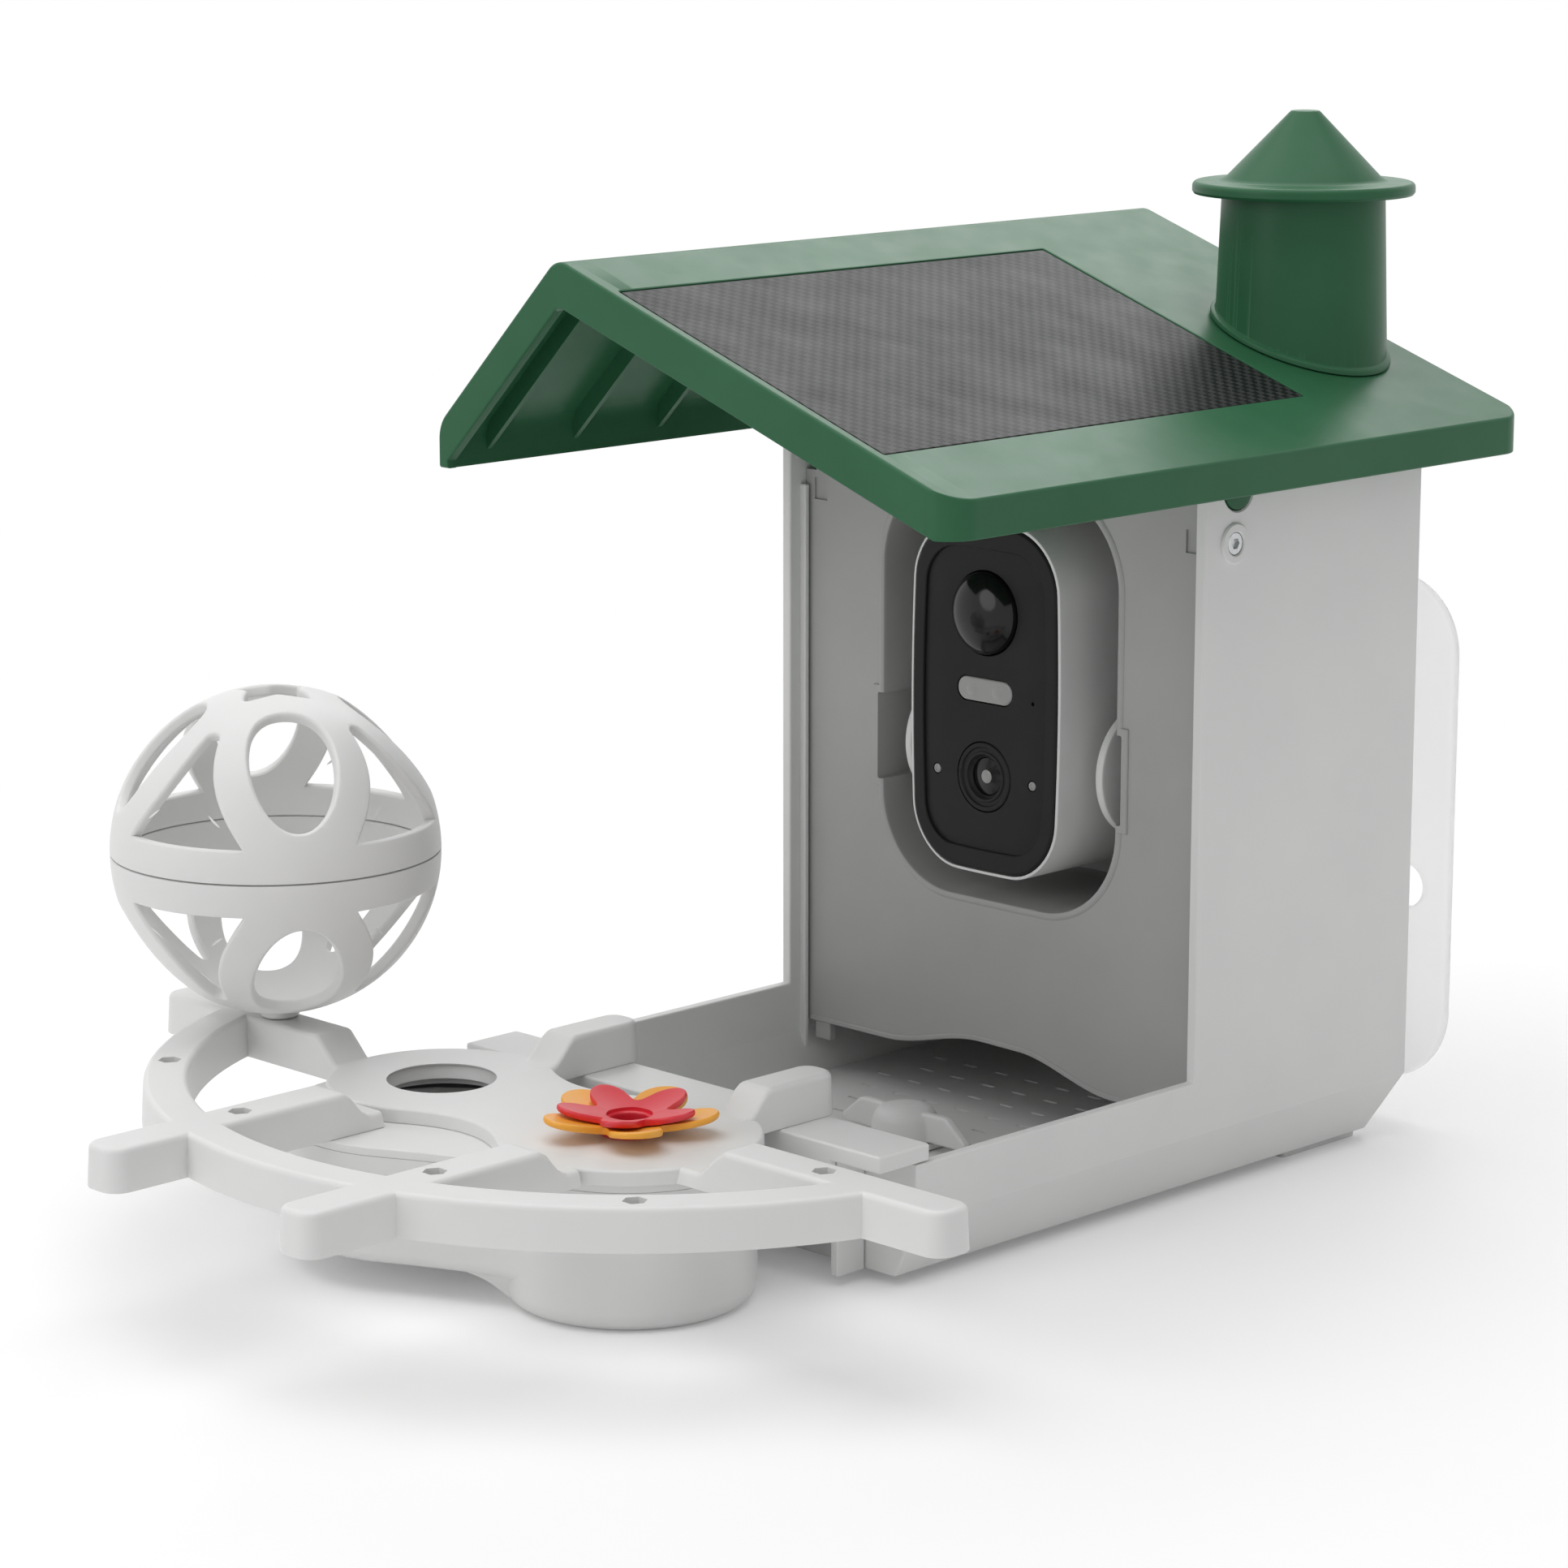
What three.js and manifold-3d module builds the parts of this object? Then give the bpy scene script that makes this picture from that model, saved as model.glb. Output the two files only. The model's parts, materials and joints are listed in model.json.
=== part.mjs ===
// A smart bird feeder: a small house with a camera, a hinged roof with a solar
// panel, and a half-wheel perch with a nectar bowl, a flower and a nesting ball.
// Millimetres, +Z up. +X is across the house, -Y is the front with the perch.
// While the pieces are drawn, Y 0 is the front edge of the tall side walls and
// Z 0 is the underside of the tray. The last lines move the whole feeder so
// that its origin is on the ground, under the middle of its bounding box.

import * as THREE from "three";
import { mergeVertices } from "three/addons/utils/BufferGeometryUtils.js";
import Module from "manifold-3d";

const wasm = await Module();
wasm.setup();

// Fits shared by all pieces
const fit = 0.3;
const overrun = 1;
const weld = 0.5;

// House: walls, rails and floor
const houseHalf = 75;
const houseDepth = 88.6;
const wall = 3.1;
const wallRise = 12;
const railHeight = 29.9;
const trayReach = 104.2;
const floorThickness = 2.9;
const creaseHeight = 15.7;
const sideChamfer = 6.9;
const rearChamfer = 8.4;
const ribSetback = 3.8;
const ribThickness = 1.5;
const ribDepth = 2.1;
const ribBottom = 11;
const ribTop = 170;
const drainLength = 34;
const drainWidth = 5;
const drainSpacing = 44;

// Feet
const footHeight = 2.5;
const footLength = 31;
const footWidth = 9;
const footInset = 3;
const frontFootInset = 10;
const footEnd = 8;

// Roof pivots
const pivotSetback = 13;
const pivotHeight = 183;
const pivotHeadRadius = 5.6;
const pivotShaftRadius = 2.6;
const earThickness = 3.2;
const earRadius = 7;

// Hopper panel and its camera pocket
const panelSetback = 6;
const panelThickness = 2.6;
const panelBottom = 19;
const archRise = 6;
const archHalf = 24;
const archOffset = 4.5;
const panelHeadroom = 2;
const earNotchDrop = 9;
const tabHeight = 5;
const tabWidth = 5.7;
const tabInset = 3.6;
const pocketHalf = 41.5;
const pocketDrop = 38.2;
const pocketRise = 74.3;
const pocketRadius = 25;
const pocketDepth = 45;
const pocketWall = 2.2;
const notchDrop = 10.7;
const notchRise = 12.9;
const notchDepth = 2;
const notchLength = 38;
const blockSize = 11;
const blockDepth = 10;
const windowSize = 6;
const windowDepth = 3;

// Panel screws
const screwSetback = 11.4;
const screwDrop = 14;
const bossRadius = 5.25;
const bossProud = 0.8;
const panelScrewRadius = 1.6;
const panelScrewHeadRadius = 2.7;
const panelScrewHead = 1.4;
const panelScrewSink = 1.7;
const panelScrewDrive = 0.8;
const panelScrewLength = 11;

// Floor liner
const linerThickness = 1.5;
const slotLength = 5;
const slotWidth = 1.3;
const slotPitchX = 11.5;
const slotPitchY = 11.6;
const slotFirstRow = 39.8;
const slotRows = 8;
const slotsInRow = 10;

// Wall plate behind the house
const plateHalf = 79;
const plateBottom = 9.5;
const plateTop = 149.5;
const plateThickness = 2.4;
const plateRadius = 21;
const plateGap = 11.4;
const plateHoleRadius = 6;
const plateHoleInset = 14.5;
const plateHoleHeight = 64;
const hangerHalf = 30;
const hangerBottom = 36;
const hangerTop = 124;
const hangerWall = 4;
const hangerBoss = 6.5;
const plateScrewRadius = 2;
const plateScrewHeadRadius = 3.6;
const plateScrewHead = 1.1;
const plateScrewSink = 1.3;
const plateScrewTip = 3;

// Roof
const overhangRight = 17.5;
const overhangLeft = 13;
const roofFront = 112.4;
const roofRear = 110.6;
const eaveRise = 1.5;
const shallowFascia = 9.696;
const steepFascia = 11.273;
const steepRun = 100;
const steepRise = 100.5;
const shallowRun = 100;
const shallowFall = 34.94;
const roofShell = 3;
const steepBand = 9;
const shallowBand = 11.2;
const steepEaveRadius = 9;
const apexRadius = 6;
const shallowEaveRadius = 1;
const gableCornerRadius = 0.8;
const eaveCornerRadius = 9;
const roofRibFirst = 97.6;
const roofRibPitch = 30.5;
const roofRibs = 3;
const roofRibThickness = 1.6;
const roofRibDepth = 4.5;

// Solar panel in the shallow slope
const solarStart = 21.2;
const solarWidth = 95.5;
const solarLength = 156.5;
const solarMargin = 3.2;
const solarThickness = 2.4;
const solarSink = 0.2;
const trayLip = 3;
const trayFloor = 1.8;

// Chimney and its cap
const chimneyX = 39.5;
const chimneyY = 80.5;
const chimneyBaseRadius = 22.9;
const chimneyTopRadius = 21.6;
const chimneyRise = 67.7;
const chimneyWall = 2.4;
const flangeRadius = 24;
const flangeThickness = 1.5;
const fillRadius = 17;
const fillRear = 82;
const brimRadius = 29.4;
const brimThickness = 3.3;
const coneBaseRadius = 21;
const coneTopRadius = 4.3;
const coneHeight = 18.5;
const coneShell = 2.2;
const plugLength = 8;
const plugWall = 2;

// Camera
const cameraHalf = 26.75;
const cameraDrop = 30;
const cameraRise = 64.8;
const cameraRadius = 15;
const cameraDepth = 34;
const cameraRim = 0.6;
const cameraShell = 2;
const rimShell = 0.85;
const rimDepth = 4;
const faceThickness = 3.4;
const faceRecess = 0.6;
const recessHalf = 21.4;
const recessFoot = 6.8;
const recessHead = 7.3;
const recessRadius = 11;
const backCoverThickness = 3;
const domeBelowTop = 24.2;
const domeRadius = 11.2;
const domeRise = 5.5;
const domeSeat = 2.2;
const lightBelowDome = 20.8;
const lightHalf = 9.6;
const lightRadius = 3.15;
const lightFlat = 0.1;
const lensBelowTilt = 3.5;
const bezelRadius = 9.3;
const bezelInner = 5.2;
const bezelDepth = 6;
const bezelProud = 0.5;
const lensRadius = 4.9;
const lensThickness = 2.4;
const lensSink = 1.2;
const sensorOffset = 17;
const sensorRadius = 1.2;
const sensorLength = 4;
const boardHalf = 20;
const boardFoot = 15.3;
const boardLength = 68;
const boardThickness = 1.6;
const boardSetback = 10.5;
const cellRadius = 9.2;
const cellLength = 65;
const cellTipRadius = 3;
const cellFoot = 15.3;
const cellSetback = 21.9;

// Camera cradle and its tilt axis
const tiltSetback = 24.8;
const tiltHeight = 102.7;
const cheekRadius = 17.5;
const cheekInner = 33;
const cheekThickness = 2.6;
const cradleHalfHeight = 11.2;
const cradleThickness = 2.6;
const trunnionRadius = 3;
const thumbRadius = 6;
const thumbHead = 3;
const thumbShaft = 2.5;
const thumbReach = 2;

// Wheel bracket on the rails
const bracketThickness = 4.4;
const bracketFront = 117.2;
const bracketRear = 99.5;
const finThickness = 2.5;
const finOuter = 58.1;
const finReach = 10;
const finGap = 0.4;
const skirtThickness = 2.5;
const skirtBottom = 17;
const tongueHalf = 10;
const tongueThickness = 1.6;
const tongueEnd = 18;
const hangerLegThickness = 2.5;

// Wing knob and its stud
const studSetback = 29;
const studRadius = 3;
const studHeadRadius = 7.5;
const studHead = 2;
const studTop = 12.5;
const insertRadius = 4.6;
const insertHeight = 4;
const knobRadius = 9.2;
const knobTopRadius = 6.2;
const knobTop = 15.6;
const knobShoulder = 12.4;
const wingThickness = 2.4;
const wingTopInner = 6;
const wingTopOuter = 14.8;
const wingTop = 14.4;
const wingTip = 22.6;
const wingTipHeight = 8.4;
const wingBottomInner = 12;

// Perch wheel
const wheelHeight = 10.8;
const hubThickness = 3.9;
const ringCentreY = -123.55;
const ringOuter = 124.55;
const ringWidth = 12;
const crossY = -160.1;
const crossWidth = 13;
const crossReach = 140.8;
const crossLeftTop = 77.7;
const crossLeftBottom = 69;
const crossRightTop = 72;
const crossRightBottom = 62;
const crossRoot = 12;
const spokeX = 35.6;
const spokeWidth = 13.4;
const spokeTip = -266.4;
const spokeSlopeTop = -196;
const spokeSlopeBottom = -188;
const armX = 35.2;
const armWidth = 12;
const armEnd = -95.6;
const armSlopeTop = -119;
const armSlopeBottom = -128;
const tipRadius = 5;
const socketRadius = 3;
const hubY = -153.7;
const hubRightX = 26.5;
const hubRightRadius = 32.5;
const hubLeftX = -42.5;
const hubLeftRadius = 29;
const portRadius = 13.85;
const spokeSocketY = -223.4;
const ringSocketX = 84.6;
const bracketScrewRadius = 1.6;
const bracketScrewHeadRadius = 3;
const bracketScrewHead = 1.8;
const bracketScrewLength = 12;

// Nectar bowl, lid and seal
const cupRadius = 30.8;
const lobeX = -34;
const lobeY = -163.5;
const lobeRadius = 38;
const lobeBottom = 5;
const bowlWall = 2.2;
const lidThickness = 2.2;
const bowlEdge = 2.4;
const sealWidth = 2;
const sealHeight = 2;
const lidPortRadius = 17;

// Feeding flower
const stemRadius = 5.7;
const stemBore = 4.4;
const stemBottom = 4;
const stemFlangeRadius = 7.2;
const stemFlange = 0.9;
const lowerPetalReach = 22;
const lowerPetalHalf = 6.4;
const petalThickness = 1.2;
const upperPetalReach = 17;
const upperPetalHalf = 5.6;
const lowerPetalTilt = 0.14;
const upperPetalTilt = 0.22;
const petals = 5;
const lowerPetalTurn = 0.6;
const upperPetalTurn = 0.3;

// Nesting ball
const ballRadius = 42.3;
const ballWall = 3;
const ballSeam = 0.3;
const ovalHalfWidth = 11.3;
const ovalHalfHeight = 17.9;
const ovalLatitude = 0.725;
const windowBaseLatitude = 0.21;
const windowApexLatitude = 0.93;
const windowHalfAngle = 0.41;
const crownCorner = 12;
const crownSide = 6.6;
const ballTurn = 1.047;
const pegRadius = 2.7;
const pegLength = 8;
const collarRadius = 5;
const collarHeight = 2;
const windowsAround = 4;
const crownPoints = 8;

// Fineness of round shapes
const roundSteps = 28;
const ballSteps = 24;
const ballRings = 6;
const lobeSteps = 12;
const holeSteps = 14;
const screwSteps = 10;
const cornerSteps = 3;
const hexSides = 6;

// Colours and finishes, taken by eye from the object
const whitePlastic = new THREE.MeshStandardMaterial({ color: 0xe6e6e4, roughness: 0.55, metalness: 0 });
const frostedPlastic = new THREE.MeshStandardMaterial({ color: 0xececea, roughness: 0.6, metalness: 0 });
const greyPlastic = new THREE.MeshStandardMaterial({ color: 0xb9b9b7, roughness: 0.6, metalness: 0 });
const greenPlastic = new THREE.MeshStandardMaterial({ color: 0x2f6a45, roughness: 0.5, metalness: 0 });
const solarGlass = new THREE.MeshStandardMaterial({ color: 0x2b2c2e, roughness: 0.35, metalness: 0.1 });
const blackPlastic = new THREE.MeshStandardMaterial({ color: 0x1b1b1c, roughness: 0.35, metalness: 0 });
const darkGlass = new THREE.MeshStandardMaterial({ color: 0x0c0c0e, roughness: 0.08, metalness: 0 });
const lightCover = new THREE.MeshStandardMaterial({ color: 0x5a5a5a, roughness: 0.3, metalness: 0 });
const steel = new THREE.MeshStandardMaterial({ color: 0xa9adb0, roughness: 0.35, metalness: 0.9 });
const brass = new THREE.MeshStandardMaterial({ color: 0xb08d4a, roughness: 0.4, metalness: 0.9 });
const rubber = new THREE.MeshStandardMaterial({ color: 0x3a3a3c, roughness: 0.85, metalness: 0 });
const boardGreen = new THREE.MeshStandardMaterial({ color: 0x1f5a35, roughness: 0.6, metalness: 0 });
const cellWrap = new THREE.MeshStandardMaterial({ color: 0x35608f, roughness: 0.45, metalness: 0 });
const orangePetal = new THREE.MeshStandardMaterial({ color: 0xf2a227, roughness: 0.5, metalness: 0 });
const redPetal = new THREE.MeshStandardMaterial({ color: 0xc81f33, roughness: 0.5, metalness: 0 });

const feeder = new THREE.Group();

// Turns a closed three.js geometry into a solid that can be cut and joined
function solid(geometry) {
  const bare = geometry.clone();
  bare.deleteAttribute("normal");
  bare.deleteAttribute("uv");
  const merged = mergeVertices(bare, 0.0001);
  const index = merged.index.array;
  const position = merged.attributes.position.array;
  const triangles = [];
  let volume = 0;
  const a = new THREE.Vector3();
  const b = new THREE.Vector3();
  const c = new THREE.Vector3();
  for (let i = 0; i < index.length; i += 3) {
    const [p, q, r] = [index[i], index[i + 1], index[i + 2]];
    if (p === q || q === r || r === p) continue;
    triangles.push([p, q, r]);
    a.fromArray(position, p * 3);
    b.fromArray(position, q * 3);
    c.fromArray(position, r * 3);
    volume += a.dot(b.cross(c));
  }
  const facing = volume < 0 ? triangles.map(([p, q, r]) => [p, r, q]) : triangles;
  return new wasm.Manifold(
    new wasm.Mesh({
      numProp: 3,
      vertProperties: new Float32Array(position),
      triVerts: new Uint32Array(facing.flat()),
    }),
  );
}

// Turns a solid back into a flat-shaded three.js geometry
function geometryOf(body) {
  const mesh = body.getMesh();
  const indexed = new THREE.BufferGeometry();
  indexed.setAttribute("position", new THREE.BufferAttribute(new Float32Array(mesh.vertProperties), 3));
  indexed.setIndex(new THREE.BufferAttribute(new Uint32Array(mesh.triVerts), 1));
  const geometry = indexed.toNonIndexed();
  geometry.computeVertexNormals();
  return geometry;
}

function add(name, body, material) {
  const mesh = new THREE.Mesh(geometryOf(body), material);
  mesh.name = name;
  feeder.add(mesh);
  return mesh;
}

// Two ends in rising order, for pieces that are made once for each side
function span(side, near, far) {
  return side > 0 ? [near, far] : [-far, -near];
}

function join(...bodies) {
  return bodies.reduce((sum, body) => sum.add(body));
}

function cut(body, ...tools) {
  return tools.reduce((rest, tool) => rest.subtract(tool), body);
}

function box(x0, x1, y0, y1, z0, z1) {
  const geometry = new THREE.BoxGeometry(x1 - x0, y1 - y0, z1 - z0);
  geometry.translate((x0 + x1) / 2, (y0 + y1) / 2, (z0 + z1) / 2);
  return solid(geometry);
}

function extrude(points, length) {
  const shape = new THREE.Shape(points.map(([x, y]) => new THREE.Vector2(x, y)));
  return new THREE.ExtrudeGeometry(shape, { depth: length, bevelEnabled: false });
}

// A prism along X, its outline drawn in Y and Z
function prismX(points, x0, x1) {
  const geometry = extrude(points, x1 - x0);
  const axes = new THREE.Matrix4().makeBasis(
    new THREE.Vector3(0, 1, 0),
    new THREE.Vector3(0, 0, 1),
    new THREE.Vector3(1, 0, 0),
  );
  geometry.applyMatrix4(axes);
  geometry.translate(x0, 0, 0);
  return solid(geometry);
}

// A prism along Y, its outline drawn in X and Z
function prismY(points, y0, y1) {
  const geometry = extrude(points, y1 - y0);
  geometry.rotateX(Math.PI / 2);
  geometry.translate(0, y1, 0);
  return solid(geometry);
}

// A prism along Z, its outline drawn in X and Y
function prismZ(points, z0, z1) {
  const geometry = extrude(points, z1 - z0);
  geometry.translate(0, 0, z0);
  return solid(geometry);
}

function arc(x, y, radius, from, to, steps) {
  const points = [];
  for (let i = 0; i <= steps; i += 1) {
    const angle = from + ((to - from) * i) / steps;
    points.push([x + radius * Math.cos(angle), y + radius * Math.sin(angle)]);
  }
  return points;
}

function circle(x, y, radius, steps) {
  return arc(x, y, radius, 0, 2 * Math.PI, steps).slice(0, -1);
}

// A body of revolution about a vertical line, its profile given as radius and height
function revolve(x, y, profile, steps) {
  const geometry = new THREE.LatheGeometry(
    profile.map(([radius, height]) => new THREE.Vector2(radius, height)),
    steps,
  );
  geometry.rotateX(Math.PI / 2);
  geometry.translate(x, y, 0);
  return solid(geometry);
}

// A closed outline whose corners, given as x, y and radius, are rounded
function rounded(corners, steps = cornerSteps) {
  const count = corners.length;
  return corners.flatMap(([x, y, radius], i) => {
    if (!radius) return [[x, y]];
    const here = new THREE.Vector2(x, y);
    const back = new THREE.Vector2(...corners[(i + count - 1) % count].slice(0, 2)).sub(here).normalize();
    const ahead = new THREE.Vector2(...corners[(i + 1) % count].slice(0, 2)).sub(here).normalize();
    const half = Math.acos(THREE.MathUtils.clamp(back.dot(ahead), -1, 1)) / 2;
    const middle = back.clone().add(ahead).normalize();
    const centre = here.clone().addScaledVector(middle, radius / Math.sin(half));
    const start = here.clone().addScaledVector(back, radius / Math.tan(half)).sub(centre);
    const end = here.clone().addScaledVector(ahead, radius / Math.tan(half)).sub(centre);
    const turn = Math.atan2(start.cross(end), start.dot(end));
    const from = Math.atan2(start.y, start.x);
    return arc(centre.x, centre.y, radius, from, from + turn, steps);
  });
}

function roundedBox(x0, x1, y0, y1, radius, steps = cornerSteps) {
  return rounded([[x0, y0, radius], [x1, y0, radius], [x1, y1, radius], [x0, y1, radius]], steps);
}

// Places derived from the house
const inner = houseHalf - wall;
const wallTop = pivotHeight + wallRise;
const trayFront = -trayReach;
const linerTop = floorThickness + linerThickness;
const screwHeight = pivotHeight - screwDrop;
const screwSeat = houseHalf + bossProud - panelScrewSink;
const earNotchBottom = pivotHeight - earNotchDrop;

// Heights on the hopper panel and the camera, which follow the tilt axis
const pocketBottom = tiltHeight - pocketDrop;
const pocketTop = tiltHeight + pocketRise;
const notchBottom = tiltHeight - notchDrop;
const notchTop = tiltHeight + notchRise;
const cameraBottom = tiltHeight - cameraDrop;
const cameraTop = tiltHeight + cameraRise;
const recessBottom = cameraBottom + recessFoot;
const recessTop = cameraTop - recessHead;
const domeHeight = cameraTop - domeBelowTop;
const lightHeight = domeHeight - lightBelowDome;
const lensHeight = tiltHeight - lensBelowTilt;
const boardBottom = cameraBottom + boardFoot;
const boardTop = boardBottom + boardLength;
const cellBottom = cameraBottom + cellFoot;

// Half width of the tray's outside at a height, following the lower chamfer
function sideAt(height) {
  return houseHalf - sideChamfer * Math.max(0, 1 - height / creaseHeight);
}

// Outline of the house seen from the front, for the outside or the cavity
function houseSection(thickness, base, top) {
  const low = sideAt(base) - thickness;
  const high = houseHalf - thickness;
  return [[-low, base], [low, base], [high, creaseHeight], [high, top], [-high, top], [-high, creaseHeight]];
}

// The wedge that the lower rear chamfer takes off
function rearWedge(back) {
  const slope = rearChamfer / creaseHeight;
  return prismX(
    [
      [back, creaseHeight],
      [back - rearChamfer - overrun * slope, -overrun],
      [back + overrun, -overrun],
      [back + overrun, creaseHeight],
    ],
    -houseHalf - overrun,
    houseHalf + overrun,
  );
}

function housingShell() {
  const over = houseHalf + overrun;
  const outside = cut(
    prismY(houseSection(0, 0, wallTop), trayFront, houseDepth),
    box(-over, over, trayFront - overrun, 0, railHeight, wallTop + overrun),
    rearWedge(houseDepth),
  );
  const cavity = cut(
    prismY(houseSection(wall, floorThickness, wallTop + overrun), trayFront + wall, houseDepth - wall),
    rearWedge(houseDepth - wall),
  );
  const corner = [
    [-overrun, pivotHeight],
    ...arc(pivotSetback, pivotHeight, pivotSetback, Math.PI, Math.PI / 2, 2 * cornerSteps),
    [pivotSetback, wallTop + pivotSetback],
    [-overrun, wallTop + pivotSetback],
  ];
  let shell = cut(outside, cavity, prismX(corner, -over, over));
  for (const side of [-1, 1]) {
    const rib = span(side, inner - ribDepth, inner + weld);
    const boss = span(side, houseHalf - weld, houseHalf + bossProud);
    shell = join(
      shell,
      box(rib[0], rib[1], ribSetback, ribSetback + ribThickness, ribBottom, ribTop),
      prismX(circle(screwSetback, screwHeight, bossRadius, holeSteps), boss[0], boss[1]),
    );
  }
  const reach = over + bossProud;
  shell = cut(
    shell,
    prismX(circle(pivotSetback, pivotHeight, pivotHeadRadius + fit, holeSteps), -reach, reach),
    prismX(circle(screwSetback, screwHeight, panelScrewRadius + fit, screwSteps), -reach, reach),
    prismX(circle(screwSetback, screwHeight, panelScrewHeadRadius + fit, holeSteps), screwSeat, reach),
    prismX(circle(screwSetback, screwHeight, panelScrewHeadRadius + fit, holeSteps), -reach, -screwSeat),
    prismZ(circle(0, -studSetback, studRadius + fit, screwSteps), -overrun, linerTop),
  );
  const screwInside = houseDepth - wall - overrun;
  for (const [x, z] of plateScrewPlaces()) {
    const bore = circle(x, z, plateScrewRadius + fit, screwSteps);
    shell = cut(shell, prismY(bore, screwInside, houseDepth + overrun));
  }
  const [long, wide] = [drainLength / 2, drainWidth / 2];
  for (const x of [-drainSpacing, drainSpacing]) {
    for (const y of [-drainSpacing - studSetback, -studSetback, drainSpacing - studSetback]) {
      const drain = box(x - long, x + long, y - wide, y + wide, -overrun, floorThickness + overrun);
      shell = cut(shell, drain);
    }
  }
  return shell;
}

// Four screws hold the wall plate, through the hanger block, to the rear wall
function plateScrewPlaces() {
  const x = hangerHalf - hangerBoss;
  return [
    [-x, hangerBottom + hangerBoss],
    [x, hangerBottom + hangerBoss],
    [-x, hangerTop - hangerBoss],
    [x, hangerTop - hangerBoss],
  ];
}

// The roof's edges and ridge, which follow the walls and the pivots that carry it
const roofRight = houseHalf + overhangRight;
const roofLeft = houseHalf + overhangLeft;
const eaveBottom = pivotHeight + eaveRise;
const chimneyTop = pivotHeight + chimneyRise;
const steepSlope = steepRise / steepRun;
const shallowSlope = shallowFall / shallowRun;
// The ridge lies where the two slopes meet that rise from the upper edges of the fascias
const fasciaStep = shallowFascia - steepFascia;
const apexX = (fasciaStep + roofRight * shallowSlope - roofLeft * steepSlope) / (steepSlope + shallowSlope);
const apexHeight = eaveBottom + shallowFascia + (roofRight - apexX) * shallowSlope;
// Height of the roof's steep and shallow faces over a place across the house
const steepStretch = Math.hypot(1, steepSlope);
const shallowStretch = Math.hypot(1, shallowSlope);

function steepZ(x, inset) {
  return apexHeight + (x - apexX) * steepSlope - inset * steepStretch;
}

function shallowZ(x, inset) {
  return apexHeight - (x - apexX) * shallowSlope - inset * shallowStretch;
}

// The ridge point of two faces moved inwards by their own insets
function ridgePoint(steepInset, shallowInset) {
  const lead = (steepInset * steepStretch - shallowInset * shallowStretch) / (steepSlope + shallowSlope);
  const x = apexX + lead;
  return [x, shallowZ(x, shallowInset)];
}

function roofUnder(x) {
  return Math.min(steepZ(x, roofShell), shallowZ(x, roofShell));
}

function gable(side, steepInset, shallowInset, base, radii) {
  const [left, right] = [side - roofLeft, roofRight - side];
  const [ridgeX, ridgeZ] = ridgePoint(steepInset, shallowInset);
  return rounded([
    [left, base, 0],
    [right, base, 0],
    [right, shallowZ(right, shallowInset), radii[0]],
    [ridgeX, ridgeZ, radii[1]],
    [left, steepZ(left, steepInset), radii[2]],
  ]);
}

// Depth below the shallow slope of the solar panel's recess and of its floor
const solarRecess = solarThickness + solarSink + fit;
const slabDepth = solarRecess + trayFloor;

function hopperPanel() {
  const half = inner - fit;
  const earHalf = inner - 2 * fit - earThickness - fit;
  const [ridgeX, ridgeZ] = ridgePoint(roofShell, slabDepth);
  const arch = [];
  for (let i = 0; i <= 2 * cornerSteps; i += 1) {
    const x = -archHalf + (archHalf * i) / cornerSteps;
    const rise = (archRise * (1 + Math.cos((Math.PI * x) / archHalf))) / 2;
    arch.push([x - archOffset, panelBottom + rise]);
  }
  const outline = [
    [-half, panelBottom],
    ...arch,
    [half, panelBottom],
    [half, earNotchBottom],
    [earHalf, earNotchBottom],
    [earHalf, shallowZ(earHalf, slabDepth) - panelHeadroom],
    [ridgeX, ridgeZ - panelHeadroom * steepStretch],
    [-earHalf, roofUnder(-earHalf) - panelHeadroom],
    [-earHalf, earNotchBottom],
    [-half, earNotchBottom],
  ];
  const back = panelSetback + panelThickness;
  const tubBack = panelSetback + pocketDepth;
  const pocket = roundedBox(-pocketHalf, pocketHalf, pocketBottom, pocketTop, pocketRadius, 2 * cornerSteps);
  const tub = roundedBox(
    -pocketHalf - pocketWall,
    pocketHalf + pocketWall,
    pocketBottom - pocketWall,
    pocketTop + pocketWall,
    pocketRadius + pocketWall,
    2 * cornerSteps,
  );
  const notchHalf = pocketHalf + notchDepth;
  const notchBack = panelSetback + notchLength;
  let panel = join(
    prismY(outline, panelSetback, back),
    prismY(tub, panelSetback + weld, tubBack + pocketWall),
    box(
      -notchHalf - pocketWall,
      notchHalf + pocketWall,
      panelSetback + weld,
      notchBack + pocketWall,
      notchBottom - pocketWall,
      notchTop + pocketWall,
    ),
  );
  panel = cut(
    panel,
    prismY(pocket, panelSetback - overrun, tubBack),
    box(-notchHalf, notchHalf, panelSetback - overrun, notchBack, notchBottom, notchTop),
    prismX(
      circle(tiltSetback, tiltHeight, trunnionRadius + fit, holeSteps),
      -notchHalf - pocketWall - overrun,
      notchHalf + pocketWall + overrun,
    ),
  );
  for (const side of [-1, 1]) {
    const tab = span(side, half - tabInset - tabWidth, half - tabInset);
    const block = span(side, half - blockSize, half);
    const sight = span(side, half - blockSize + wall, half - wall);
    const bore = span(side, half - blockSize - overrun, half + overrun);
    const low = screwHeight - blockSize / 2;
    panel = join(
      panel,
      box(tab[0], tab[1], panelSetback, back, panelBottom - tabHeight, panelBottom + weld),
      box(block[0], block[1], panelSetback, panelSetback + blockDepth, low, earNotchBottom),
    );
    panel = cut(
      panel,
      box(
        sight[0],
        sight[1],
        panelSetback - overrun,
        panelSetback + windowDepth,
        screwHeight - windowSize / 2,
        screwHeight + windowSize / 2,
      ),
      prismX(circle(screwSetback, screwHeight, panelScrewRadius + fit, screwSteps), ...bore),
    );
  }
  return panel;
}

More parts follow.
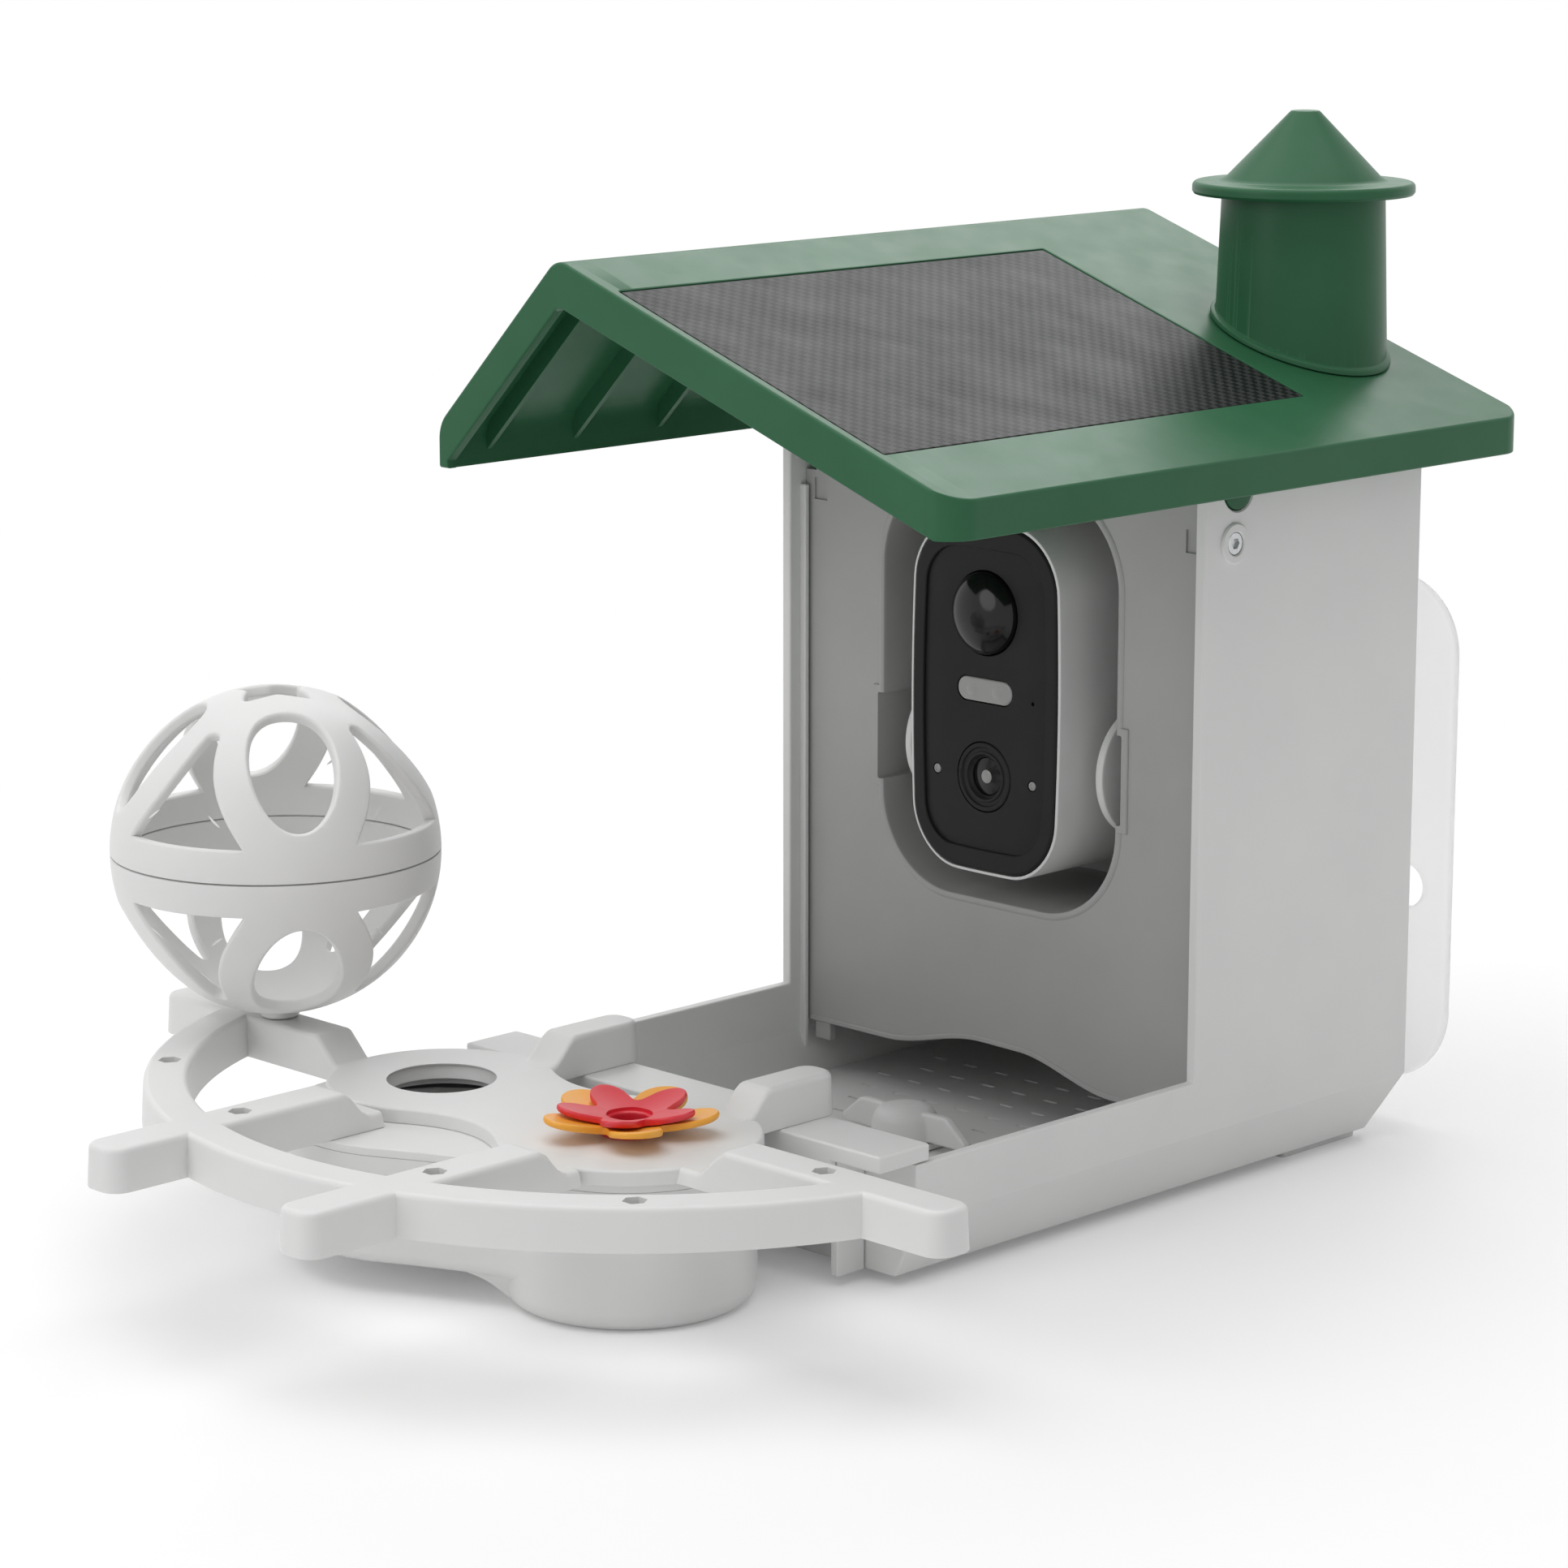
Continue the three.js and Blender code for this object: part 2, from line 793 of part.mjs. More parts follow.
function panelScrew(side) {
  const top = screwSeat + panelScrewHead;
  const shaft = span(side, screwSeat - panelScrewLength, screwSeat + weld);
  const head = span(side, screwSeat, top);
  const drive = span(side, top - panelScrewDrive, top + overrun);
  return cut(
    join(
      prismX(circle(screwSetback, screwHeight, panelScrewRadius, screwSteps), ...shaft),
      prismX(circle(screwSetback, screwHeight, panelScrewHeadRadius, holeSteps), ...head),
    ),
    prismX(circle(screwSetback, screwHeight, panelScrewRadius, hexSides), ...drive),
  );
}

function floorLiner() {
  const half = sideAt(floorThickness) - wall - fit;
  const rear = houseDepth - wall - rearChamfer * (1 - floorThickness / creaseHeight) - fit;
  let liner = cut(
    box(-half, half, trayFront + wall + fit, rear, floorThickness, linerTop),
    prismZ(circle(0, -studSetback, studRadius + fit, screwSteps), 0, linerTop + overrun),
  );
  const slots = [];
  for (let row = 0; row < slotRows; row += 1) {
    const y = slotFirstRow - row * slotPitchY;
    const count = slotsInRow - (row % 2);
    for (let i = 0; i < count; i += 1) {
      const x = (i - (count - 1) / 2) * slotPitchX;
      if (Math.hypot(x, y + studSetback) < knobRadius) continue;
      const [long, wide] = [slotLength / 2, slotWidth / 2];
      slots.push(box(x - long, x + long, y - wide, y + wide, floorThickness - overrun, linerTop + overrun));
    }
  }
  liner = cut(liner, join(...slots));
  return liner;
}

function wallPlate() {
  const front = houseDepth + plateGap;
  let plate = prismY(
    roundedBox(-plateHalf, plateHalf, plateBottom, plateTop, plateRadius, 2 * cornerSteps),
    front,
    front + plateThickness,
  );
  const back = front + plateThickness;
  for (const side of [-1, 1]) {
    const hole = circle(side * (plateHalf - plateHoleInset), plateHoleHeight, plateHoleRadius, holeSteps);
    plate = cut(plate, prismY(hole, front - overrun, back + overrun));
  }
  for (const [x, z] of plateScrewPlaces()) {
    plate = cut(
      plate,
      prismY(circle(x, z, plateScrewRadius + fit, screwSteps), front - overrun, back + overrun),
      prismY(circle(x, z, plateScrewHeadRadius + fit, holeSteps), back - plateScrewSink, back + overrun),
    );
  }
  return plate;
}

function hangerBlock() {
  const front = houseDepth;
  const rear = houseDepth + plateGap;
  let block = cut(
    box(-hangerHalf, hangerHalf, front, rear, hangerBottom, hangerTop),
    box(
      -hangerHalf + hangerWall,
      hangerHalf - hangerWall,
      front + hangerWall,
      rear + overrun,
      hangerBottom + hangerWall,
      hangerTop - hangerWall,
    ),
  );
  for (const [x, z] of plateScrewPlaces()) {
    block = join(block, prismY(circle(x, z, hangerBoss - weld, screwSteps), front, rear));
  }
  for (const [x, z] of plateScrewPlaces()) {
    const bore = circle(x, z, plateScrewRadius + fit, screwSteps);
    block = cut(block, prismY(bore, front - overrun, rear + overrun));
  }
  return block;
}

function plateScrew(x, z) {
  const seat = houseDepth + plateGap + plateThickness - plateScrewSink;
  const tip = houseDepth - plateScrewTip;
  return join(
    prismY(circle(x, z, plateScrewRadius, screwSteps), tip, seat + weld),
    prismY(circle(x, z, plateScrewHeadRadius, screwSteps), seat, seat + plateScrewHead),
  );
}

// Moves a geometry drawn on the shallow slope into place: X runs down the slope
// from the ridge, Y along the ridge, and Z is the height above the roof's face
function onSlope(x0, x1, y0, y1, z0, z1) {
  const geometry = new THREE.BoxGeometry(x1 - x0, y1 - y0, z1 - z0);
  geometry.translate((x0 + x1) / 2, (y0 + y1) / 2, (z0 + z1) / 2);
  geometry.rotateY(Math.atan(shallowSlope));
  geometry.translate(apexX, 0, apexHeight);
  return solid(geometry);
}

function roofShellSolid() {
  const front = -roofFront;
  const plan = (inset) =>
    rounded([
      [inset - roofLeft, front + inset, Math.max(0, gableCornerRadius - inset)],
      [roofRight - inset, front + inset, eaveCornerRadius - inset],
      [roofRight - inset, roofRear - inset, eaveCornerRadius - inset],
      [inset - roofLeft, roofRear - inset, Math.max(0, gableCornerRadius - inset)],
    ]);
  const low = eaveBottom - overrun;
  const high = apexHeight + overrun;
  const outside = prismY(
    gable(0, 0, 0, eaveBottom, [shallowEaveRadius, apexRadius, steepEaveRadius]),
    front,
    roofRear,
  ).intersect(prismZ(plan(0), low, high));
  const hollow = prismY(
    gable(roofShell, roofShell, roofShell, low, [0, apexRadius - roofShell, steepEaveRadius - roofShell]),
    front + roofShell,
    roofRear - roofShell,
  ).intersect(prismZ(plan(roofShell), low - overrun, high));
  const mouth = prismY(
    gable(roofShell + weld, steepBand, shallowBand, low, [0, roofShell, 0]),
    front - overrun,
    roofRear + overrun,
  );
  const solarFront = front + solarMargin;
  const solarRear = solarFront + solarLength;
  const slab = onSlope(
    solarStart - trayLip,
    solarStart + solarWidth + trayLip,
    solarFront - fit,
    solarRear + trayLip,
    -slabDepth,
    weld - solarRecess,
  );
  let roof = join(cut(outside, hollow, mouth), slab);
  for (let i = 0; i < roofRibs; i += 1) {
    const y = -roofRibFirst + i * roofRibPitch;
    const top = apexX - apexRadius;
    const bottom = roofShell - weld - roofLeft;
    const rib = [
      [bottom, steepZ(bottom, roofShell - weld)],
      [bottom, steepZ(bottom, roofShell + roofRibDepth)],
      [top, steepZ(top, roofShell + roofRibDepth)],
      [top, steepZ(top, roofShell - weld)],
    ];
    roof = join(roof, prismY(rib, y - roofRibThickness / 2, y + roofRibThickness / 2));
  }
  for (const side of [-1, 1]) {
    const root = roofUnder(side * (inner - fit)) + roofShell / 2;
    const ear = [
      ...arc(pivotSetback, pivotHeight, earRadius, Math.PI, 2 * Math.PI, 2 * cornerSteps),
      [pivotSetback + earRadius, root],
      [pivotSetback - earRadius, root],
    ];
    roof = join(roof, prismX(ear, ...span(side, inner - fit - earThickness, inner - fit)));
  }
  const reach = inner + overrun;
  roof = cut(
    roof,
    prismX(circle(pivotSetback, pivotHeight, pivotShaftRadius + fit, screwSteps), -reach, reach),
    onSlope(
      solarStart - fit,
      solarStart + solarWidth + fit,
      solarFront,
      solarRear,
      -solarRecess,
      roofShell,
    ),
  );
  const lift = Math.asin((fillRear - chimneyY) / fillRadius);
  const fill = arc(chimneyX, chimneyY, fillRadius, Math.PI - lift, 2 * Math.PI + lift, 2 * holeSteps);
  return cut(roof, prismZ(fill, eaveBottom, high));
}

function solarPanel() {
  const front = -roofFront + solarMargin + fit;
  return onSlope(
    solarStart,
    solarStart + solarWidth,
    front,
    front + solarLength - 2 * fit,
    -solarSink - solarThickness,
    -solarSink,
  );
}

function roofPivot(side) {
  const head = span(side, inner, houseHalf);
  const shaft = span(side, inner - fit - earThickness, inner + weld);
  return join(
    prismX(circle(pivotSetback, pivotHeight, pivotHeadRadius, holeSteps), ...head),
    prismX(circle(pivotSetback, pivotHeight, pivotShaftRadius, screwSteps), ...shaft),
  );
}

function fillerChimney() {
  const low = eaveBottom;
  const tube = revolve(
    chimneyX,
    chimneyY,
    [
      [chimneyBaseRadius - chimneyWall, low],
      [chimneyBaseRadius, low],
      [chimneyBaseRadius, shallowZ(chimneyX, 0)],
      [chimneyTopRadius, chimneyTop],
      [chimneyTopRadius - chimneyWall, chimneyTop],
      [chimneyBaseRadius - chimneyWall, shallowZ(chimneyX, 0)],
      [chimneyBaseRadius - chimneyWall, low],
    ],
    roundSteps,
  );
  const reach = 2 * roofRight;
  const bore = circle(chimneyX, chimneyY, chimneyBaseRadius - chimneyWall, roundSteps);
  const flange = cut(
    prismZ(circle(chimneyX, chimneyY, flangeRadius, roundSteps), low, chimneyTop),
    onSlope(-reach, reach, 0, 2 * roofRear, fit + flangeThickness, chimneyTop),
    prismZ(bore, low - overrun, chimneyTop + overrun),
  );
  return cut(join(tube, flange), onSlope(-reach, reach, 0, 2 * roofRear, -chimneyTop, fit));
}

function chimneyCap() {
  const bottom = chimneyTop + fit;
  const top = bottom + brimThickness;
  const plug = chimneyTopRadius - chimneyWall - fit;
  const lean = (coneBaseRadius - coneTopRadius) / coneHeight;
  const innerTop = coneTopRadius - coneShell / 2;
  return revolve(
    chimneyX,
    chimneyY,
    [
      [0, top + coneHeight],
      [coneTopRadius, top + coneHeight],
      [coneBaseRadius, top + weld],
      [coneBaseRadius + weld, top],
      [brimRadius, top],
      [brimRadius, bottom],
      [plug, bottom],
      [plug, bottom - plugLength],
      [plug - plugWall, bottom - plugLength],
      [plug - plugWall, bottom + coneShell / 2],
      [innerTop, bottom + coneShell / 2 + (plug - plugWall - innerTop) / lean],
      [0, bottom + coneShell / 2 + (plug - plugWall - innerTop) / lean],
    ],
    roundSteps,
  );
}

function cameraOutline(inset) {
  return roundedBox(
    -cameraHalf + inset,
    cameraHalf - inset,
    cameraBottom + inset,
    cameraTop - inset,
    cameraRadius - inset,
  );
}

function cameraShellSolid() {
  return cut(
    prismY(cameraOutline(0), cameraRim, cameraRim + cameraDepth),
    prismY(cameraOutline(rimShell), cameraRim - overrun, cameraRim + rimDepth),
    prismY(cameraOutline(cameraShell), cameraRim, cameraRim + cameraDepth + overrun),
  );
}

function cameraFace() {
  const back = faceThickness;
  const recess = roundedBox(-recessHalf, recessHalf, recessBottom, recessTop, recessRadius);
  const light = roundedBox(
    -lightHalf - fit,
    lightHalf + fit,
    lightHeight - lightRadius - fit,
    lightHeight + lightRadius + fit,
    lightRadius + fit - lightFlat,
  );
  let face = cut(
    prismY(cameraOutline(rimShell + fit), 0, back),
    prismY(recess, -overrun, faceRecess),
    prismY(circle(0, domeHeight, domeRadius + fit, roundSteps), -overrun, back + overrun),
    prismY(light, -overrun, back + overrun),
    prismY(circle(0, lensHeight, bezelRadius + fit, roundSteps), -overrun, back + overrun),
  );
  for (const side of [-1, 1]) {
    const bore = circle(side * sensorOffset, lensHeight, sensorRadius + fit, screwSteps);
    face = cut(face, prismY(bore, -overrun, back + overrun));
  }
  return face;
}

// A body of revolution about a line along Y, its profile given as radius and depth
function revolveY(x, z, profile, steps) {
  const geometry = new THREE.LatheGeometry(
    profile.map(([radius, depth]) => new THREE.Vector2(radius, depth)),
    steps,
  );
  geometry.translate(x, 0, z);
  return solid(geometry);
}

function sensorDome() {
  const profile = [[0, domeSeat + faceRecess]];
  profile.push([domeRadius, domeSeat + faceRecess]);
  for (let i = 0; i <= cornerSteps; i += 1) {
    const angle = ((Math.PI / 2) * i) / cornerSteps;
    profile.push([domeRadius * Math.cos(angle), faceRecess - domeRise * Math.sin(angle)]);
  }
  profile[profile.length - 1][0] = 0;
  return revolveY(0, domeHeight, profile, roundSteps);
}

function lightWindow() {
  const [low, high] = [lightHeight - lightRadius, lightHeight + lightRadius];
  const outline = roundedBox(-lightHalf, lightHalf, low, high, lightRadius - lightFlat);
  return prismY(outline, faceRecess, faceThickness);
}

function lensBezel() {
  return revolveY(
    0,
    lensHeight,
    [
      [bezelInner, faceRecess + bezelProud],
      [bezelRadius - bezelProud, faceRecess - bezelProud],
      [bezelRadius, faceRecess],
      [bezelRadius, bezelDepth],
      [bezelInner, bezelDepth],
      [bezelInner, faceRecess + bezelProud],
    ],
    roundSteps,
  );
}

function lensGlass() {
  const front = faceRecess + lensSink;
  return revolveY(
    0,
    lensHeight,
    [
      [0, front],
      [lensRadius / 2, front + lensSink / 4],
      [lensRadius, front + lensSink],
      [lensRadius, front + lensSink + lensThickness],
      [0, front + lensSink + lensThickness],
    ],
    holeSteps,
  );
}

function sensorPin(side) {
  const pin = circle(side * sensorOffset, lensHeight, sensorRadius, screwSteps);
  return prismY(pin, faceRecess, faceRecess + sensorLength);
}

function cameraBack() {
  const start = cameraRim + cameraDepth - backCoverThickness;
  const plug = prismY(cameraOutline(cameraShell + fit), start, cameraRim + cameraDepth);
  const seat = cameraRim + cameraDepth - thumbReach - fit;
  return cut(
    plug,
    prismY(circle(0, tiltHeight, thumbShaft + fit, screwSteps), seat, cameraRim + cameraDepth + overrun),
  );
}

function circuitBoard() {
  return box(-boardHalf, boardHalf, boardSetback, boardSetback + boardThickness, boardBottom, boardTop);
}

function batteryCell() {
  const top = cellBottom + cellLength;
  return join(
    prismZ(circle(0, cellSetback, cellRadius, holeSteps), cellBottom, top),
    prismZ(circle(0, cellSetback, cellTipRadius, screwSteps), top - weld, top + weld),
  );
}

function cameraCradle() {
  const outer = cheekInner + cheekThickness;
  const back = cameraRim + cameraDepth + fit;
  const web = box(
    -outer,
    outer,
    back,
    back + cradleThickness,
    tiltHeight - cradleHalfHeight,
    tiltHeight + cradleHalfHeight,
  );
  const bore = circle(0, tiltHeight, thumbShaft + fit, screwSteps);
  let cradle = cut(web, prismY(bore, back - overrun, back + cradleThickness + overrun));
  for (const side of [-1, 1]) {
    const cheek = span(side, cheekInner, outer);
    const pin = span(side, outer - weld, pocketHalf + notchDepth + pocketWall);
    const pad = span(side, cameraHalf + fit, cheekInner + weld);
    cradle = join(
      cradle,
      prismX(circle(tiltSetback, tiltHeight, cheekRadius, roundSteps), ...cheek),
      prismX(circle(tiltSetback, tiltHeight, trunnionRadius, holeSteps), ...pin),
      prismX(circle(tiltSetback, tiltHeight, 2 * trunnionRadius, holeSteps), ...pad),
    );
  }
  return cradle;
}

// A thumb screw through the cradle into the camera's back cover
function cameraScrew() {
  const seat = cameraRim + cameraDepth + fit + cradleThickness;
  return join(
    prismY(circle(0, tiltHeight, thumbRadius, holeSteps), seat, seat + thumbHead),
    prismY(circle(0, tiltHeight, thumbShaft, screwSteps), cameraRim + cameraDepth - thumbReach, seat + weld),
  );
}

// Heights that follow from the rails upwards
const bracketBottom = railHeight + fit;
const wheelBottom = bracketBottom + bracketThickness;
const wheelTop = wheelBottom + wheelHeight;
const hubTop = wheelBottom + hubThickness;

// One screw under each rear arm, in the gap between the skirt and the tray
function bracketScrewPlace(side) {
  return [side * armX, (trayFront - bracketFront + skirtThickness) / 2];
}

function wheelBracket() {
  const tongueBottom = linerTop + fit;
  const legFront = trayFront + wall + fit;
  const skirtBack = skirtThickness - bracketFront;
  const legBack = legFront + hangerLegThickness;
  const root = bracketBottom + weld;
  let bracket = join(
    box(-houseHalf, houseHalf, -bracketFront, -bracketRear, bracketBottom, wheelBottom),
    box(-finOuter, finOuter, -bracketFront, skirtBack, skirtBottom, root),
    box(-tongueHalf, tongueHalf, legFront, legBack, tongueBottom, root),
    box(-tongueHalf, tongueHalf, legFront, -tongueEnd, tongueBottom, tongueBottom + tongueThickness),
  );
  for (const side of [-1, 1]) {
    const fin = span(side, finOuter - finThickness, finOuter);
    bracket = join(bracket, box(...fin, trayFront - finReach, trayFront - finGap, 0, root));
  }
  const studBore = circle(0, -studSetback, studRadius + fit, screwSteps);
  bracket = cut(bracket, prismZ(studBore, tongueBottom - overrun, tongueBottom + tongueThickness + overrun));
  for (const side of [-1, 1]) {
    const bore = circle(...bracketScrewPlace(side), bracketScrewRadius + fit, screwSteps);
    bracket = cut(bracket, prismZ(bore, bracketBottom - overrun, wheelBottom + overrun));
  }
  return bracket;
}

function bracketScrew(side) {
  const [x, y] = bracketScrewPlace(side);
  const head = circle(x, y, bracketScrewHeadRadius, screwSteps);
  const shaft = circle(x, y, bracketScrewRadius, screwSteps);
  return join(
    prismZ(head, bracketBottom - bracketScrewHead, bracketBottom),
    prismZ(shaft, bracketBottom - weld, bracketBottom + bracketScrewLength),
  );
}

function knobStud() {
  return join(
    prismZ(circle(0, -studSetback, studHeadRadius, holeSteps), -studHead, 0),
    prismZ(circle(0, -studSetback, studRadius, screwSteps), -weld, studTop),
  );
}

const knobBase = linerTop + fit + tongueThickness + fit;

function wingKnob() {
  const body = revolve(
    0,
    -studSetback,
    [
      [0, knobBase],
      [knobRadius, knobBase],
      [knobRadius, knobShoulder],
      [knobTopRadius + weld, (knobShoulder + knobTop) / 2 + weld],
      [knobTopRadius - weld, knobTop],
      [0, knobTop],
    ],
    holeSteps,
  );
  let knob = body;
  for (const side of [-1, 1]) {
    const wing = [
      [side * wingTopInner, knobBase],
      [side * wingBottomInner, knobBase],
      [side * (wingTip - weld), knobBase],
      [side * wingTip, wingTipHeight],
      [side * wingTopOuter, wingTop],
      [side * wingTopInner, wingTop],
    ];
    knob = join(knob, prismY(wing, -studSetback - wingThickness / 2, -studSetback + wingThickness / 2));
  }
  const low = knobBase - overrun;
  return cut(
    knob,
    prismZ(circle(0, -studSetback, studRadius + fit, screwSteps), low, studTop + fit),
    prismZ(circle(0, -studSetback, insertRadius + fit, holeSteps), low, knobBase + insertHeight),
  );
}

function knobInsert() {
  const bore = circle(0, -studSetback, studRadius + fit, screwSteps);
  return cut(
    prismZ(circle(0, -studSetback, insertRadius, holeSteps), knobBase, knobBase + insertHeight - fit),
    prismZ(bore, knobBase - overrun, knobBase + insertHeight + overrun),
  );
}

// An outline of two round lobes with drawn-in waists. Each lobe is x, y and
// radius, and leaves its circle at a front and a back angle.
function lobes(right, left, inset) {
  const at = (lobe, angle) =>
    new THREE.Vector2(
      lobe.x + (lobe.radius - inset) * Math.cos(angle),
      lobe.y + (lobe.radius - inset) * Math.sin(angle),
    );
  const waist = (from, fromAngle, to, toAngle) => {
    const start = at(from, fromAngle);
    const end = at(to, toAngle);
    const ahead = new THREE.Vector2(-Math.sin(fromAngle), Math.cos(fromAngle));
    const behind = new THREE.Vector2(-Math.sin(toAngle), Math.cos(toAngle));
    const gap = end.clone().sub(start);
    const reach = gap.cross(behind) / ahead.cross(behind);
    const control = start.clone().addScaledVector(ahead, reach);
    const curve = new THREE.QuadraticBezierCurve(start, control, end);
    return curve.getPoints(2 * cornerSteps).slice(1, -1).map((point) => [point.x, point.y]);
  };
  return [
    ...arc(right.x, right.y, right.radius - inset, right.front, right.back, lobeSteps),
    ...waist(right, right.back, left, left.back),
    ...arc(left.x, left.y, left.radius - inset, left.back, left.front + 2 * Math.PI, lobeSteps),
    ...waist(left, left.front, right, right.front),
  ];
}

const hubRight = { x: hubRightX, y: hubY, radius: hubRightRadius, front: -2.18, back: 2.18 };
const hubLeft = { x: hubLeftX, y: hubY, radius: hubLeftRadius, front: -1.05, back: 1.05 };
const bowlRight = { x: hubRightX, y: hubY, radius: cupRadius, front: -1.745, back: 1.658 };
const bowlLeft = { x: lobeX, y: lobeY, radius: lobeRadius, front: -1.082, back: 1.484 };

// A straight bar along Y with a rounded tip, sloping down onto the hub
function barY(x, width, tip, slopeTop, slopeBottom) {
  const inward = Math.sign(slopeBottom - slopeTop);
  const root = slopeBottom + inward * hubThickness;
  const side = [
    [tip, wheelBottom],
    [tip, wheelTop],
    [slopeTop, wheelTop],
    [slopeBottom, hubTop],
    [root, hubTop],
    [root, wheelBottom],
  ];
  const far = tip + inward * (Math.abs(tip - root) + tipRadius);
  const plan = roundedBox(x - width / 2, x + width / 2, Math.min(tip, far), Math.max(tip, far), tipRadius);
  return prismX(side, x - width / 2 - overrun, x + width / 2 + overrun).intersect(
    prismZ(plan, wheelBottom - overrun, wheelTop + overrun),
  );
}

// A straight bar along X with a rounded tip, sloping down onto the hub
function barX(side, slopeTop, slopeBottom) {
  const root = slopeBottom - crossRoot;
  const profile = [
    [side * crossReach, wheelBottom],
    [side * crossReach, wheelTop],
    [side * slopeTop, wheelTop],
    [side * slopeBottom, hubTop],
    [side * root, hubTop],
    [side * root, wheelBottom],
  ];
  const ends = span(side, root - tipRadius, crossReach);
  const plan = roundedBox(...ends, crossY - crossWidth / 2, crossY + crossWidth / 2, tipRadius);
  return prismY(profile, crossY - crossWidth, crossY + crossWidth).intersect(
    prismZ(plan, wheelBottom - overrun, wheelTop + overrun),
  );
}

function socketPlaces() {
  const ringMiddle = ringOuter - ringWidth / 2;
  const ringSocketY = ringCentreY - Math.sqrt(ringMiddle ** 2 - ringSocketX ** 2);
  return [-1, 1].flatMap((side) => [
    [side * (crossReach - ballRadius), crossY],
    [side * spokeX, spokeSocketY],
    [side * ringSocketX, ringSocketY],
  ]);
}

function perchWheel() {
  const lean = Math.asin((ringCentreY - crossY) / ringOuter);
  const sector = [
    ...arc(0, ringCentreY, ringOuter, -Math.PI + lean, -lean, roundSteps),
    ...arc(0, ringCentreY, ringOuter - ringWidth, -lean, -Math.PI + lean, roundSteps),
  ];
  let wheel = join(
    prismZ(sector, wheelBottom, wheelTop),
    prismZ(lobes(hubRight, hubLeft, 0), wheelBottom, hubTop),
    barX(-1, crossLeftTop, crossLeftBottom),
    barX(1, crossRightTop, crossRightBottom),
  );
  for (const side of [-1, 1]) {
    wheel = join(
      wheel,
      barY(side * spokeX, spokeWidth, spokeTip, spokeSlopeTop, spokeSlopeBottom),
      barY(side * armX, armWidth, armEnd, armSlopeTop, armSlopeBottom),
    );
  }
  wheel = cut(
    wheel,
    prismZ(circle(hubLeftX, hubY, portRadius, roundSteps), wheelBottom - overrun, hubTop + overrun),
    prismZ(circle(hubRightX, hubY, stemRadius + fit, holeSteps), wheelBottom - overrun, hubTop + overrun),
  );
  for (const [x, y] of socketPlaces()) {
    const socket = circle(x, y, socketRadius, hexSides);
    wheel = cut(wheel, prismZ(socket, wheelBottom - overrun, wheelTop + overrun));
  }
  for (const side of [-1, 1]) {
    const bore = circle(...bracketScrewPlace(side), bracketScrewRadius + fit, screwSteps);
    wheel = cut(wheel, prismZ(bore, wheelBottom - overrun, bracketBottom + bracketScrewLength + fit));
  }
  return wheel;
}

const lidBottom = wheelBottom - lidThickness;

// Bottom edges are drawn in by a chamfer, so the bowl is stacked from two prisms
function bowlBody(inset, low, cupLow) {
  const edge = bowlEdge - inset / 2;
  return join(
    prismZ(lobes(bowlRight, bowlLeft, inset), low + edge / 2, lidBottom),
    prismZ(lobes(bowlRight, bowlLeft, inset + edge / 2), low, lidBottom),
    revolve(
      hubRightX,
      hubY,
      [
        [0, cupLow],
        [cupRadius - inset - edge, cupLow],
        [cupRadius - inset - edge / 3, cupLow + edge / 3],
        [cupRadius - inset, cupLow + edge],
        [cupRadius - inset, lidBottom],
        [0, lidBottom],
      ],
      roundSteps,
    ),
  );
}

function nectarBowl() {
  const outside = bowlBody(0, lobeBottom, -footHeight);
  const inside = bowlBody(bowlWall, lobeBottom + bowlWall, bowlWall - footHeight);
  const mouth = prismZ(lobes(bowlRight, bowlLeft, bowlWall), lidBottom - overrun, lidBottom + overrun);
  return cut(outside, inside, mouth);
}

function bowlLid() {
  return cut(
    prismZ(lobes(bowlRight, bowlLeft, 0), lidBottom, wheelBottom),
    prismZ(circle(hubLeftX, hubY, lidPortRadius, roundSteps), lidBottom - overrun, wheelBottom + overrun),
    prismZ(circle(hubRightX, hubY, stemRadius + fit, holeSteps), lidBottom - overrun, wheelBottom + overrun),
  );
}

function bowlSeal() {
  const low = lidBottom - sealHeight;
  return cut(
    prismZ(lobes(bowlRight, bowlLeft, bowlWall + fit), low, lidBottom),
    prismZ(lobes(bowlRight, bowlLeft, bowlWall + fit + sealWidth), low - overrun, lidBottom + overrun),
  );
}

// One petal as a flat ellipse that starts inside the stem and reaches outwards
function petal(reach, half, thickness) {
  const shape = circle(0, 0, 1, holeSteps).map(([x, y]) => [(x * reach) / 2 + reach / 2, y * half]);
  return extrude(shape, thickness);
}

function petalRing(reach, half, base, tilt, turn) {
  const ring = [];
  for (let i = 0; i < petals; i += 1) {
    const geometry = petal(reach, half, petalThickness);
    geometry.rotateY(-tilt);
    geometry.rotateZ(turn + (2 * Math.PI * i) / petals);
    geometry.translate(hubRightX, hubY, base);
    ring.push(solid(geometry));
  }
  return join(...ring);
}

const flowerSeat = hubTop + fit;
const lowerPetalBase = flowerSeat + stemFlange + fit;
const upperPetalBase = lowerPetalBase + petalThickness + fit;

function lowerPetals() {
  const ring = petalRing(lowerPetalReach, lowerPetalHalf, lowerPetalBase, lowerPetalTilt, lowerPetalTurn);
  const bore = circle(hubRightX, hubY, stemRadius + fit, holeSteps);
  const under = circle(hubRightX, hubY, lowerPetalReach, holeSteps);
  return cut(
    ring,
    prismZ(bore, lowerPetalBase - overrun, lowerPetalBase + lowerPetalReach),
    prismZ(under, flowerSeat, lowerPetalBase),
  );
}

